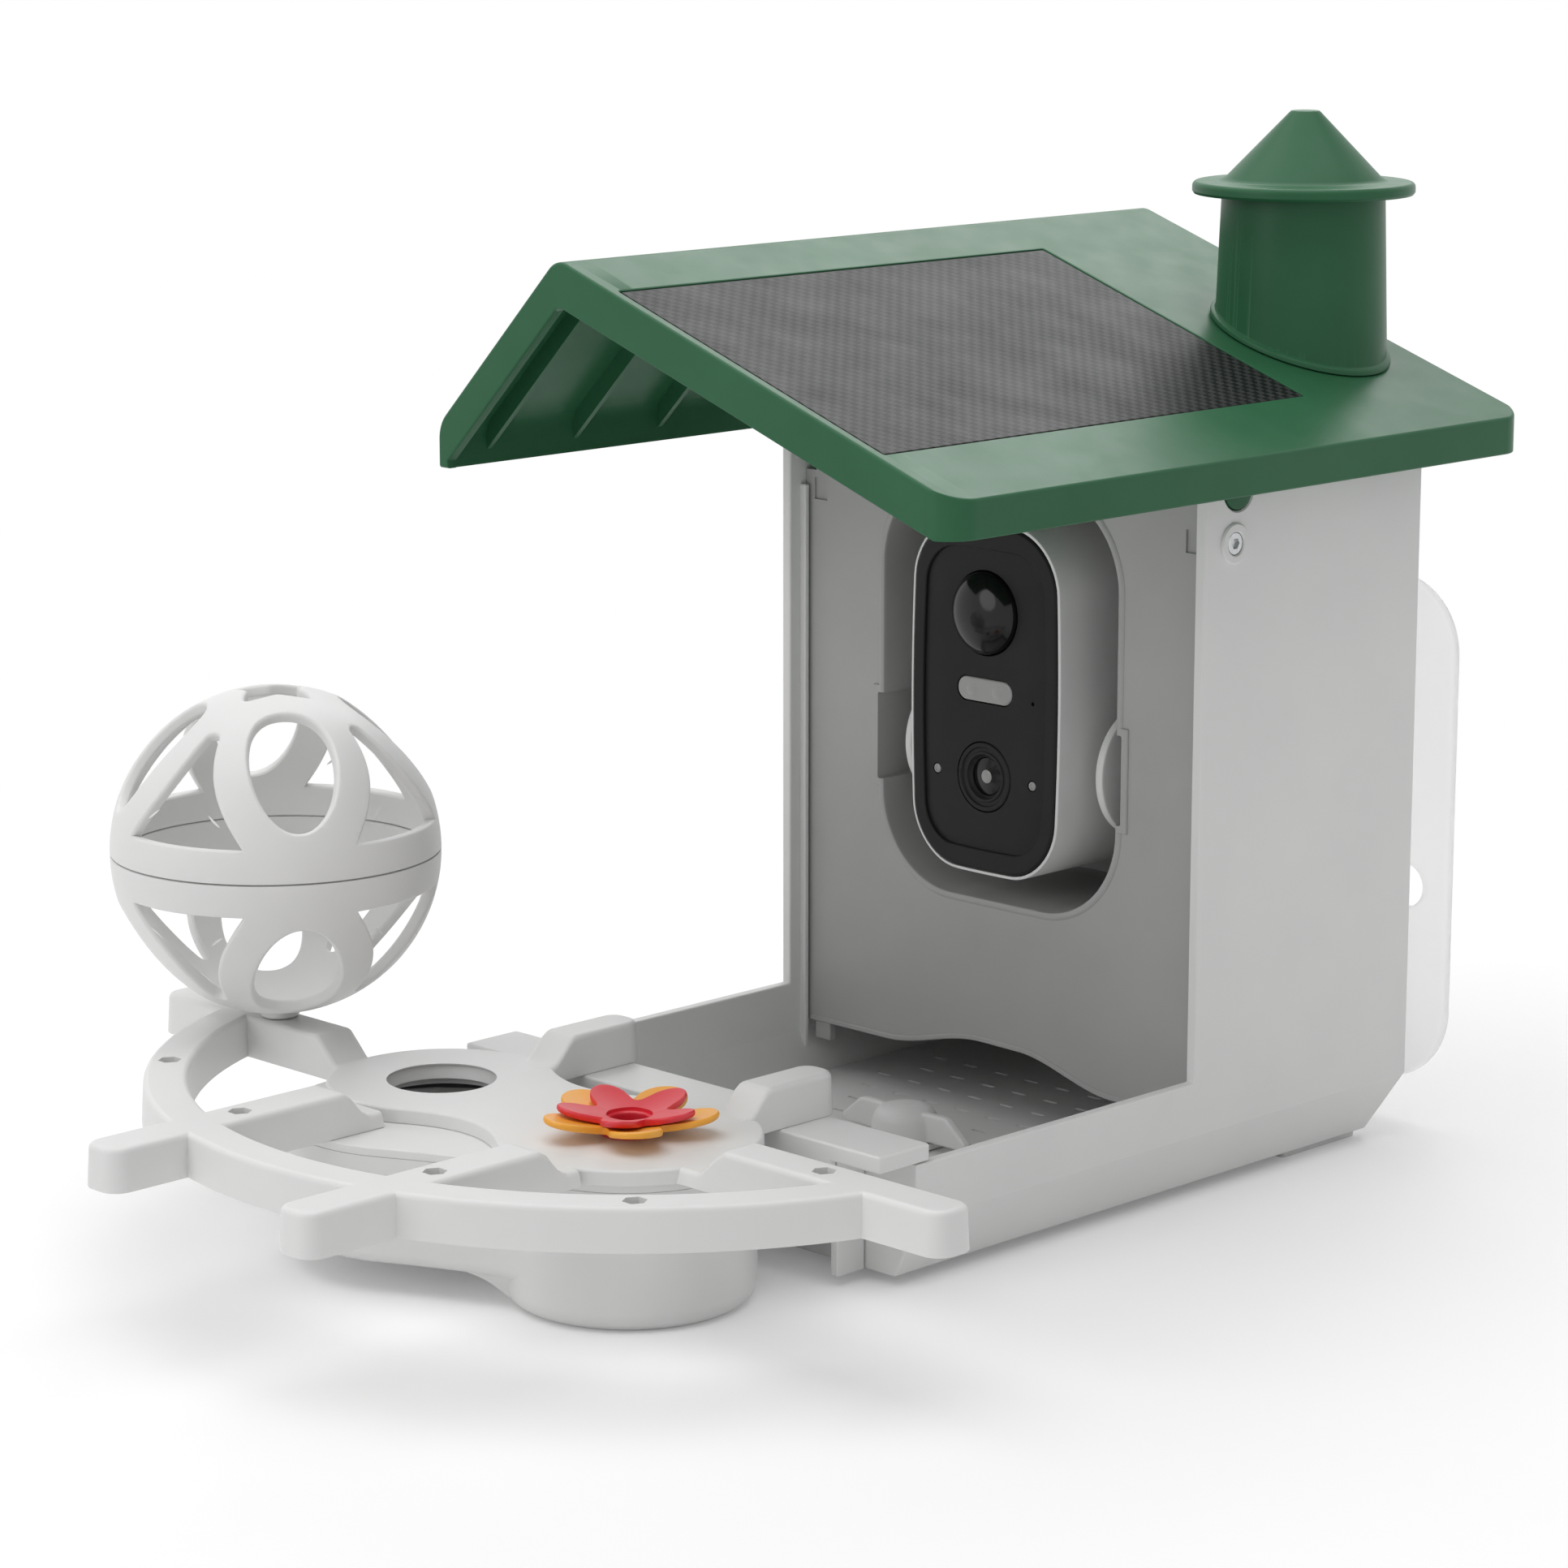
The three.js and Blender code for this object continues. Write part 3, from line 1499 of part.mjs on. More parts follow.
function upperPetals() {
  const top = upperPetalBase + petalThickness + weld;
  const under = circle(hubRightX, hubY, upperPetalReach, holeSteps);
  const star = cut(
    petalRing(upperPetalReach, upperPetalHalf, upperPetalBase, upperPetalTilt, upperPetalTurn),
    prismZ(under, lowerPetalBase - petalThickness, upperPetalBase),
  );
  const stem = join(
    prismZ(circle(hubRightX, hubY, stemRadius, holeSteps), stemBottom, top),
    prismZ(circle(hubRightX, hubY, stemFlangeRadius, holeSteps), flowerSeat, flowerSeat + stemFlange),
  );
  const bore = circle(hubRightX, hubY, stemBore, holeSteps);
  return cut(join(star, stem), prismZ(bore, stemBottom - overrun, upperPetalBase + upperPetalReach));
}

const ballX = ballRadius - crossReach;
const ballY = crossY;
const ballZ = wheelTop + collarHeight + ballRadius;

// A point on a sphere about the ball's centre
function ballPoint(turn, latitude, radius) {
  return [
    radius * Math.cos(latitude) * Math.sin(turn),
    -radius * Math.cos(latitude) * Math.cos(turn),
    radius * Math.sin(latitude),
  ];
}

// A cone from the ball's centre through an outline on its surface
function ballWindow(outline) {
  const reach = ballRadius * 2;
  const positions = [0, 0, 0];
  const index = [];
  const count = outline.length;
  outline.forEach(([turn, latitude]) => positions.push(...ballPoint(turn, latitude, reach)));
  positions.push(...outline.reduce(
    (sum, [turn, latitude]) => {
      const point = ballPoint(turn, latitude, reach / count);
      return [sum[0] + point[0], sum[1] + point[1], sum[2] + point[2]];
    },
    [0, 0, 0],
  ));
  for (let i = 0; i < count; i += 1) {
    const next = (i + 1) % count;
    index.push(0, i + 1, next + 1);
    index.push(count + 1, next + 1, i + 1);
  }
  const geometry = new THREE.BufferGeometry();
  geometry.setAttribute("position", new THREE.BufferAttribute(new Float32Array(positions), 3));
  geometry.setIndex(index);
  geometry.translate(ballX, ballY, ballZ);
  return solid(geometry);
}

function ballHalf(sign) {
  const inside = ballRadius - ballWall;
  const profile = [];
  const steps = ballRings;
  const start = ballSeam / 2;
  for (let i = 0; i <= steps; i += 1) {
    const low = Math.asin(start / ballRadius);
    const latitude = low + ((Math.PI / 2 - low) * i) / steps;
    profile.push([ballRadius * Math.cos(latitude), ballZ + sign * ballRadius * Math.sin(latitude)]);
  }
  profile[profile.length - 1][0] = 0;
  for (let i = steps; i >= 0; i -= 1) {
    const low = Math.asin(start / inside);
    const latitude = low + ((Math.PI / 2 - low) * i) / steps;
    profile.push([inside * Math.cos(latitude), ballZ + sign * inside * Math.sin(latitude)]);
  }
  profile[steps + 1][0] = 0;
  profile.push([...profile[0]]);
  let half = revolve(ballX, ballY, profile, ballSteps);
  for (let i = 0; i < windowsAround; i += 1) {
    const turn = ballTurn + (2 * Math.PI * i) / windowsAround;
    const oval = circle(0, 0, 1, holeSteps).map(([x, y]) => [
      turn + (x * ovalHalfWidth) / (ballRadius * Math.cos(ovalLatitude + (y * ovalHalfHeight) / ballRadius)),
      sign * (ovalLatitude + (y * ovalHalfHeight) / ballRadius),
    ]);
    const gap = turn + Math.PI / windowsAround;
    const window = [
      [gap - windowHalfAngle, sign * windowBaseLatitude],
      [gap, sign * windowBaseLatitude],
      [gap + windowHalfAngle, sign * windowBaseLatitude],
      [gap + windowHalfAngle / 4, sign * windowApexLatitude],
      [gap - windowHalfAngle / 4, sign * windowApexLatitude],
    ];
    half = cut(half, ballWindow(oval), ballWindow(window));
  }
  return half;
}

function ballUpper() {
  const crown = [];
  for (let i = 0; i < crownPoints; i += 1) {
    const angle = ballTurn + (2 * Math.PI * i) / crownPoints;
    const reach = i % 2 ? crownCorner : crownSide;
    crown.push([ballX + reach * Math.sin(angle), ballY - reach * Math.cos(angle)]);
  }
  return cut(ballHalf(1), prismZ(crown.reverse(), ballZ, ballZ + 2 * ballRadius));
}

function ballLower() {
  const bottom = ballZ - ballRadius;
  const peg = prismZ(circle(ballX, ballY, pegRadius, hexSides), wheelTop - pegLength, bottom + ballWall / 2);
  const collar = prismZ(circle(ballX, ballY, collarRadius, holeSteps), wheelTop + fit, bottom + ballWall / 2);
  return join(ballHalf(-1), peg, collar);
}

add("housing_shell", housingShell(), whitePlastic);
add("hopper_panel", hopperPanel(), greyPlastic);
add("floor_liner", floorLiner(), whitePlastic);
add("panel_screw_left", panelScrew(-1), steel);
add("panel_screw_right", panelScrew(1), steel);
add("wall_plate", wallPlate(), frostedPlastic);
add("hanger_block", hangerBlock(), whitePlastic);
plateScrewPlaces().forEach(([x, z], i) => add(`plate_screw_${i + 1}`, plateScrew(x, z), steel));
add("knob_stud", knobStud(), steel);

const footEdge = houseHalf - sideChamfer - footInset;
const frontFootEdge = footEdge - frontFootInset;
const frontFootY = trayFront + footEnd;
const rearFootY = houseDepth - rearChamfer - footLength;

function foot(side, edge, y) {
  return box(...span(side, edge - footWidth, edge), y, y + footLength, -footHeight, 0);
}

add("foot_front_left", foot(-1, frontFootEdge, frontFootY), whitePlastic);
add("foot_front_right", foot(1, frontFootEdge, frontFootY), whitePlastic);
add("foot_rear_left", foot(-1, footEdge, rearFootY), whitePlastic);
add("foot_rear_right", foot(1, footEdge, rearFootY), whitePlastic);

add("roof_shell", roofShellSolid(), greenPlastic);
add("solar_panel", solarPanel(), solarGlass);
add("filler_chimney", fillerChimney(), greenPlastic);
add("roof_pivot_left", roofPivot(-1), greenPlastic);
add("roof_pivot_right", roofPivot(1), greenPlastic);
add("chimney_cap", chimneyCap(), greenPlastic);

add("camera_cradle", cameraCradle(), whitePlastic);
add("camera_shell", cameraShellSolid(), whitePlastic);
add("camera_face", cameraFace(), blackPlastic);
add("sensor_dome", sensorDome(), darkGlass);
add("light_window", lightWindow(), lightCover);
add("lens_bezel", lensBezel(), blackPlastic);
add("lens_glass", lensGlass(), darkGlass);
add("light_sensor", sensorPin(-1), lightCover);
add("status_light", sensorPin(1), lightCover);
add("camera_back", cameraBack(), whitePlastic);
add("camera_screw", cameraScrew(), steel);
add("circuit_board", circuitBoard(), boardGreen);
add("battery_cell", batteryCell(), cellWrap);

add("wheel_bracket", wheelBracket(), whitePlastic);
add("perch_wheel", perchWheel(), whitePlastic);
add("bracket_screw_left", bracketScrew(-1), steel);
add("bracket_screw_right", bracketScrew(1), steel);
add("nectar_bowl", nectarBowl(), whitePlastic);
add("bowl_lid", bowlLid(), whitePlastic);
add("bowl_seal", bowlSeal(), rubber);
add("wing_knob", wingKnob(), whitePlastic);
add("knob_insert", knobInsert(), brass);
add("ball_lower", ballLower(), whitePlastic);
add("ball_upper", ballUpper(), whitePlastic);
add("lower_petals", lowerPetals(), orangePetal);
add("upper_petals", upperPetals(), redPetal);

// Stand the feeder on the ground, centred under its own bounding box
feeder.position.set(0, -(roofRear + spokeTip) / 2, footHeight);

export default feeder;
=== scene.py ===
"""Looks of the smart bird feeder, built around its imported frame.

Pieces are drawn in millimetres in the house's own frame: X 0 is the middle of
the house, Y 0 the front edge of its tall walls and Z 0 the tray's underside.
finish_piece() moves them to where the frame stands and turns them to metres.
"""

import json
import math

import bmesh
import bpy
from mathutils import Matrix, Vector


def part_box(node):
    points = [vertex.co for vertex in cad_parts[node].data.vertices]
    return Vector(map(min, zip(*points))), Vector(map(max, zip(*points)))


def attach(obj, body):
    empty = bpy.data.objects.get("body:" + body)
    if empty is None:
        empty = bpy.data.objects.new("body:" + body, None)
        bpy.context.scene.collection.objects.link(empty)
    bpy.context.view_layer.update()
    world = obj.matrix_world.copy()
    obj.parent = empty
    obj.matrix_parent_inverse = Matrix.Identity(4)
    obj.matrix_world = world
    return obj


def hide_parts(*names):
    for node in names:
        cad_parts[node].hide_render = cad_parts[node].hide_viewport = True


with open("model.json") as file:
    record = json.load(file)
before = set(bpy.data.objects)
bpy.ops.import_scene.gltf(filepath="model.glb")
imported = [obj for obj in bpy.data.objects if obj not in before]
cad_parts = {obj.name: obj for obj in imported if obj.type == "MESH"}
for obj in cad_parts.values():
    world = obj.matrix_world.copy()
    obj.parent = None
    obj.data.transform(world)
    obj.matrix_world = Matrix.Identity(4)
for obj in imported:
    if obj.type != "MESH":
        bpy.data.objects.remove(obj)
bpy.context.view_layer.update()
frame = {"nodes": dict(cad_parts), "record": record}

# Where the house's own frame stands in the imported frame
MILLIMETRE = 0.001
SPOKE_TIP = -266.4
wheel_front, house_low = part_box("perch_wheel")[0][1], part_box("housing_shell")[0][2]
SHIFT = Vector((0, wheel_front / MILLIMETRE - SPOKE_TIP, house_low / MILLIMETRE))

# Room between two pieces, and how far a cutter reaches past what it cuts
FIT, OVER = 0.3, 1.0

# Sizes of the house, as in the frame
HOUSE_HALF, HOUSE_DEPTH, WALL, WALL_TOP = 75.0, 88.6, 3.1, 195.0
RAIL_HEIGHT, TRAY_REACH, FLOOR = 29.9, 104.2, 2.9
CREASE, SIDE_CHAMFER, REAR_CHAMFER = 15.7, 6.9, 8.4
INSIDE = HOUSE_HALF - WALL
PIVOT_Y, PIVOT_Z, PIVOT_HEAD, PIVOT_SHAFT = 13.0, 183.0, 5.6, 2.6
EAR_FACE, EAR, EAR_RADIUS = INSIDE - FIT, 3.2, 7.0
SCREW_Y, SCREW_Z, SCREW_BORE, SCREW_SEAT = 11.4, 169.0, 1.9, HOUSE_HALF - 0.9
LINER_TOP = FLOOR + 1.5
STUD_Y, STUD_RADIUS = -29.0, 3.0
TILT_Y, TILT_Z, TILT_PIN = 24.8, 102.7, 3.0
FOOT_HEIGHT, FOOT_WIDTH, FOOT_LENGTH, FOOT_EDGE = 2.5, 9.0, 31.0, HOUSE_HALF - SIDE_CHAMFER - 3

# Hanger and wall plate
PLATE_FRONT, PLATE_BACK, PLATE_SINK = HOUSE_DEPTH + 11.4, HOUSE_DEPTH + 13.8, 1.3
HANGER_HALF, HANGER_LOW, HANGER_HIGH, HANGER_WALL, HANGER_BOSS = 30.0, 36.0, 124.0, 4.0, 6.5
PLATE_SCREWS = [
    (side * (HANGER_HALF - HANGER_BOSS), z)
    for z in (HANGER_LOW + HANGER_BOSS, HANGER_HIGH - HANGER_BOSS) for side in (-1, 1)
]
PLATE_BORE = 2.3

# Roof
ROOF_RIGHT, ROOF_LEFT, ROOF_FRONT, ROOF_REAR, EAVE = 92.5, -88.0, -112.4, 110.6, 184.5
APEX_X, APEX_Z, STEEP, SHALLOW, SHEET = -42.6, 241.4, 1.005, 0.3494, 3.0
SOLAR_START, SOLAR_WIDTH, SOLAR_LENGTH, SOLAR_MARGIN = 21.2, 95.5, 156.5, 3.2
SOLAR_RECESS, SOLAR_FLOOR, CELL_PITCH = 2.9, 1.8, 0.0019
ROOF_EDGE, ROOF_CORNER, RIGHT_ROUND, RIDGE_ROUND, LEFT_ROUND, FOOT_ROUND = 0.9, 9.0, 1.0, 6.0, 9.0, 0.5
CHIMNEY_X, CHIMNEY_Y, CHIMNEY_TOP = 39.5, 80.5, 250.7

# Camera
CAMERA_FRONT, CAMERA_BACK = 0.6, 34.6
CAMERA_HALF, CAMERA_LOW, CAMERA_HIGH, CAMERA_RADIUS = 26.75, 72.7, 167.5, 16.5
DOME_Z, LIGHT_Z, LENS_Z, SENSOR_X = 143.3, 122.5, 99.2, 17.0

# Wheel
WHEEL_LOW, WHEEL_HIGH, HUB_HIGH = 34.6, 45.4, 38.5
RING_Y, RING_RADIUS, RING_WIDTH = -123.55, 124.55, 12.0
CROSS_Y, CROSS_REACH = -160.1, 140.8
HUB_Y, FLOWER_X, PORT_X, PORT_RADIUS = -153.7, 26.5, -42.5, 13.85
SPOKE_X, BRACKET_Y, TONGUE, LID_LOW, LID_HIGH, CUP_RADIUS = 35.2, -109.45, 1.6, 32.4, 34.59, 30.8
BALL = Vector((-98.5, CROSS_Y, 89.7))
BALL_RADIUS, BALL_WALL = 42.3, 3.0


# Mesh work

def placed(name, mesh):
    piece = bpy.data.objects.new(name, mesh)
    bpy.context.scene.collection.objects.link(piece)
    return piece


def solid(vertices, faces, name="part"):
    mesh = bpy.data.meshes.new(name)
    mesh.from_pydata([tuple(v) for v in vertices], [], [tuple(f) for f in faces])
    work = bmesh.new()
    work.from_mesh(mesh)
    bmesh.ops.remove_doubles(work, verts=work.verts, dist=0.0005)
    bmesh.ops.recalc_face_normals(work, faces=work.faces)
    work.to_mesh(mesh)
    work.free()
    return placed(name, mesh)


def bands(layers, count):
    """Faces between rings of count points that lie one after the other."""
    faces = []
    for layer in range(layers - 1):
        for i in range(count):
            here, ahead = layer * count + i, layer * count + (i + 1) % count
            faces.append((here, ahead, ahead + count, here + count))
    return faces


PLACES = {
    "x": lambda a, b, c: (c, a, b),
    "y": lambda a, b, c: (a, c, b),
    "z": lambda a, b, c: (a, b, c),
}


def loft(axis, sections):
    """A closed body through outlines of equal count, each given with its height along the axis."""
    place = PLACES[axis]
    count = len(sections[0][1])
    vertices = [place(a, b, height) for height, outline in sections for a, b in outline]
    faces = [range(count), range(len(vertices) - 1, len(vertices) - count - 1, -1)]
    return solid(vertices, faces + bands(len(sections), count))


def prism(axis, outline, low, high):
    return loft(axis, [(low, outline), (high, outline)])


def loft_of(axis, outline, rings):
    """A loft of one outline. Each ring gives its height along the axis and what the outline is made for."""
    return loft(axis, [(height, outline(amount)) for height, amount in rings])


def span(side, near, far):
    """Two distances from the middle, in order, on the side given by 1 or -1."""
    return sorted((side * near, side * far))


def block(x0, x1, y0, y1, z0, z1):
    return prism("z", [(x0, y0), (x1, y0), (x1, y1), (x0, y1)], z0, z1)


def lathe(axis, centre, profile, steps=96):
    """Turns a profile of radius and height about a line along the axis."""
    place = PLACES[axis]
    vertices, faces, rings = [], [], []
    for radius, height in profile:
        if radius < 1e-6:
            rings.append([len(vertices)])
            vertices.append(place(centre[0], centre[1], height))
            continue
        rings.append(range(len(vertices), len(vertices) + steps))
        for i in range(steps):
            turn = 2 * math.pi * i / steps
            across, up = centre[0] + radius * math.cos(turn), centre[1] + radius * math.sin(turn)
            vertices.append(place(across, up, height))
    pairs = list(zip(rings, rings[1:]))
    if len(rings[0]) > 1:
        pairs.append((rings[-1], rings[0]))
    for below, above in pairs:
        for i in range(steps):
            spots = (below, i), (below, i + 1), (above, i + 1), (above, i)
            loop = list(dict.fromkeys(ring[at % len(ring)] for ring, at in spots))
            if len(loop) > 2:
                faces.append(loop)
    return solid(vertices, faces)


def arc(x, y, radius, start, end, steps):
    turns = [start + (end - start) * i / steps for i in range(steps + 1)]
    return [(x + radius * math.cos(turn), y + radius * math.sin(turn)) for turn in turns]


def circle(x, y, radius, steps=48, start=0.0):
    return arc(x, y, radius, start, start + 2 * math.pi, steps)[:-1]


def rounded(corners, steps=8):
    """An outline whose corners, each x, y and radius, are rounded."""
    outline = []
    for i, (x, y, radius) in enumerate(corners):
        here = Vector((x, y))
        if radius <= 0:
            outline.append((x, y))
            continue
        back = (Vector(corners[i - 1][:2]) - here).normalized()
        ahead = (Vector(corners[(i + 1) % len(corners)][:2]) - here).normalized()
        half = math.acos(max(-1, min(1, back.dot(ahead)))) / 2
        centre = here + (back + ahead).normalized() * radius / math.sin(half)
        first = here + back * radius / math.tan(half) - centre
        last = here + ahead * radius / math.tan(half) - centre
        start = math.atan2(first.y, first.x)
        turn = math.atan2(first.x * last.y - first.y * last.x, first.dot(last))
        outline += arc(centre.x, centre.y, radius, start, start + turn, steps)
    return outline


def panel_outline(x0, x1, y0, y1, radius, steps=10):
    return rounded([(x0, y0, radius), (x1, y0, radius), (x1, y1, radius), (x0, y1, radius)], steps)


def edge_steps(radius, steps=4):
    """Insets and depths that round an edge over in a loft: (inset, depth) from the face down."""
    turns = [0.5 * math.pi * i / steps for i in range(steps + 1)]
    return [(radius * (1 - math.sin(turn)), radius * (1 - math.cos(turn))) for turn in turns]


def settle(piece):
    """Turns the piece with its modifiers into a plain mesh."""
    bpy.context.view_layer.update()
    seen = piece.evaluated_get(bpy.context.evaluated_depsgraph_get())
    mesh = bpy.data.meshes.new_from_object(seen)
    old = piece.data
    piece.modifiers.clear()
    piece.data = mesh
    bpy.data.meshes.remove(old)
    return piece


def combine(operation, base, tools):
    for tool in tools:
        step = base.modifiers.new(operation.lower(), "BOOLEAN")
        step.operation = operation
        step.solver = "MANIFOLD"
        step.object = tool
    settle(base)
    for tool in tools:
        bpy.data.objects.remove(tool, do_unlink=True)
    return base


def cut(base, *tools):
    return combine("DIFFERENCE", base, tools)


def join(base, *tools):
    return combine("UNION", base, tools)


def keep(base, *tools):
    return combine("INTERSECT", base, tools)


def merged(pieces):
    """Puts pieces that don't touch into one mesh."""
    work = bmesh.new()
    for piece in pieces:
        work.from_mesh(piece.data)
        bpy.data.objects.remove(piece, do_unlink=True)
    mesh = bpy.data.meshes.new("merged")
    work.to_mesh(mesh)
    work.free()
    return placed("merged", mesh)


def soften(piece, width, rule=None, steps=3, angle=28):
    """Rounds the edges over. rule gets an edge's middle and direction and gives a share of the width."""
    work = bmesh.new()
    work.from_mesh(piece.data)
    bmesh.ops.remove_doubles(work, verts=work.verts, dist=0.02)
    bmesh.ops.dissolve_degenerate(work, edges=work.edges, dist=0.01)
    bmesh.ops.dissolve_limit(work, angle_limit=math.radians(0.4), verts=work.verts, edges=work.edges)
    weight = work.edges.layers.float.new("bevel_weight_edge")
    for edge in work.edges:
        if len(edge.link_faces) != 2 or edge.calc_face_angle(0) < math.radians(angle):
            continue
        start, end = edge.verts[0].co, edge.verts[1].co
        edge[weight] = 1.0 if rule is None else rule((start + end) / 2, (end - start).normalized(), edge)
    work.to_mesh(piece.data)
    work.free()
    bevel = piece.modifiers.new("edges", "BEVEL")
    bevel.limit_method = "WEIGHT"
    bevel.width = width
    bevel.segments = steps
    bevel.miter_outer = "MITER_SHARP"
    bevel.use_clamp_overlap = False
    return settle(piece)


def smooth(piece, angle=35):
    piece.data.shade_smooth()
    piece.data.set_sharp_from_angle(angle=math.radians(angle))
    normals = piece.modifiers.new("normals", "WEIGHTED_NORMAL")
    normals.keep_sharp = True
    return settle(piece)


def finish_piece(piece, name, body, slot, replaced, angle=35):
    """Shades the piece, moves it to its place in metres and puts it in the frame."""
    smooth(piece, angle)
    piece.data.transform(Matrix.Scale(MILLIMETRE, 4) @ Matrix.Translation(SHIFT))
    piece.name = name
    piece.data.name = name
    piece.data.materials.clear()
    piece.data.materials.append(FINISHES[slot])
    for face in piece.data.polygons:
        face.material_index = 0
    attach(piece, body)
    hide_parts(*replaced)


# Finishes

# The middle part of a noise, where nearly all of its values lie
CLOUD = 0.3, 0.7


def nodes_for(name):
    material = bpy.data.materials.new(name)
    material.use_nodes = True
    return material, material.node_tree, material.node_tree.nodes["Principled BSDF"]


def noise(tree, scale, detail=3.0, stretch=(1, 1, 1)):
    place = tree.nodes.new("ShaderNodeTexCoord")
    turn = tree.nodes.new("ShaderNodeMapping")
    turn.inputs["Scale"].default_value = stretch
    texture = tree.nodes.new("ShaderNodeTexNoise")
    texture.inputs["Scale"].default_value = scale
    texture.inputs["Detail"].default_value = detail
    texture.inputs["Roughness"].default_value = 0.55
    tree.links.new(place.outputs["Object"], turn.inputs["Vector"])
    tree.links.new(turn.outputs["Vector"], texture.inputs["Vector"])
    return texture.outputs["Fac"]


def remap(tree, value, low, high, to_low, to_high):
    node = tree.nodes.new("ShaderNodeMapRange")
    for socket, number in zip(("From Min", "From Max", "To Min", "To Max"), (low, high, to_low, to_high)):
        node.inputs[socket].default_value = number
    tree.links.new(value, node.inputs["Value"])
    return node.outputs["Result"]


def blend_colours(tree, share, first, second):
    mix = tree.nodes.new("ShaderNodeMix")
    mix.data_type = "RGBA"
    tree.links.new(share, mix.inputs["Factor"])
    for socket, colour in (("A", first), ("B", second)):
        target = [s for s in mix.inputs if s.name == socket and s.type == "RGBA"][0]
        if isinstance(colour, bpy.types.NodeSocket):
            tree.links.new(colour, target)
        else:
            target.default_value = (*colour, 1)
    return [s for s in mix.outputs if s.type == "RGBA"][0]


def bump(tree, shader, height, strength, distance):
    node = tree.nodes.new("ShaderNodeBump")
    node.inputs["Strength"].default_value = strength
    node.inputs["Distance"].default_value = distance
    tree.links.new(height, node.inputs["Height"])
    tree.links.new(node.outputs["Normal"], shader.inputs["Normal"])


def clouded(tree, shader, grain, colour, shade, roughness):
    """Two noises, of a grain and detail each, that vary the colour and the roughness between two values."""
    cloud = remap(tree, noise(tree, *grain[0]), *CLOUD, 0, 1)
    tree.links.new(blend_colours(tree, cloud, colour, shade), shader.inputs["Base Color"])
    tree.links.new(remap(tree, noise(tree, *grain[1]), *CLOUD, *roughness), shader.inputs["Roughness"])


def moulded(name, colour, shade, roughness, grain=0.12, mirror=0.5, scatter=0.0):
    """Moulded plastic: a faint cloudiness in its colour and gloss, and a fine spark-eroded grain."""
    material, tree, shader = nodes_for(name)
    clouded(tree, shader, ((28,), (90, 4)), colour, shade, (roughness - 0.03, roughness + 0.03))
    shader.inputs["Specular IOR Level"].default_value = mirror
    shader.inputs["Subsurface Weight"].default_value = scatter
    shader.inputs["Subsurface Radius"].default_value = (1, 0.95, 0.9)
    shader.inputs["Subsurface Scale"].default_value = 0.0015
    bump(tree, shader, noise(tree, 2600, 2), grain, 0.00008)
    return material


def metal(name, colour, shade, roughness):
    """Turned metal with fine marks across it."""
    material, tree, shader = nodes_for(name)
    marks, cuts = (300, 4, (1, 6, 1)), (1800, 2, (1, 8, 1))
    clouded(tree, shader, (marks, (900,)), colour, shade, (roughness - 0.08, roughness + 0.1))
    shader.inputs["Metallic"].default_value = 1
    bump(tree, shader, noise(tree, *cuts), 0.15, 0.00005)
    return material


def solar_cells(name):
    """Dark cells behind a clear skin: a fine chequer that lies along the slope."""
    material, tree, shader = nodes_for(name)
    place = tree.nodes.new("ShaderNodeTexCoord")
    level = tree.nodes.new("ShaderNodeMapping")
    level.inputs["Rotation"].default_value = (0, -math.atan(SHALLOW), 0)
    level.inputs["Location"].default_value = (0, 0, 0.0005)
    fine = tree.nodes.new("ShaderNodeTexChecker")
    fine.inputs["Scale"].default_value = 1 / CELL_PITCH
    tree.links.new(place.outputs["Object"], level.inputs["Vector"])
    tree.links.new(level.outputs["Vector"], fine.inputs["Vector"])
    cloud = remap(tree, noise(tree, 700, 2), 0.35, 0.65, 0, 1)
    dark = blend_colours(tree, cloud, (0.006, 0.007, 0.007), (0.010, 0.011, 0.011))
    pale = blend_colours(tree, cloud, (0.030, 0.031, 0.031), (0.046, 0.047, 0.047))
    tree.links.new(blend_colours(tree, fine.outputs["Fac"], dark, pale), shader.inputs["Base Color"])
    tree.links.new(remap(tree, noise(tree, 60), *CLOUD, 0.38, 0.46), shader.inputs["Roughness"])
    shader.inputs["Specular IOR Level"].default_value = 0.1
    bump(tree, shader, fine.outputs["Fac"], 0.25, 0.0001)
    return material


def dark_glass(name):
    material, tree, shader = nodes_for(name)
    clouded(tree, shader, ((60,), (200,)), (0.006, 0.006, 0.006), (0.010, 0.010, 0.010), (0.1, 0.16))
    shader.inputs["Specular IOR Level"].default_value = 0.3
    bump(tree, shader, noise(tree, 300), 0.02, 0.0001)
    return material


def frosted(name):
    """Frosted plastic that lets light through."""
    material, tree, shader = nodes_for(name)
    clouded(tree, shader, ((24,), (150,)), (0.93, 0.93, 0.93), (0.90, 0.90, 0.90), (0.45, 0.6))
    shader.inputs["Transmission Weight"].default_value = 0.85
    shader.inputs["IOR"].default_value = 1.25
    bump(tree, shader, noise(tree, 1500, 2), 0.1, 0.00008)
    return material


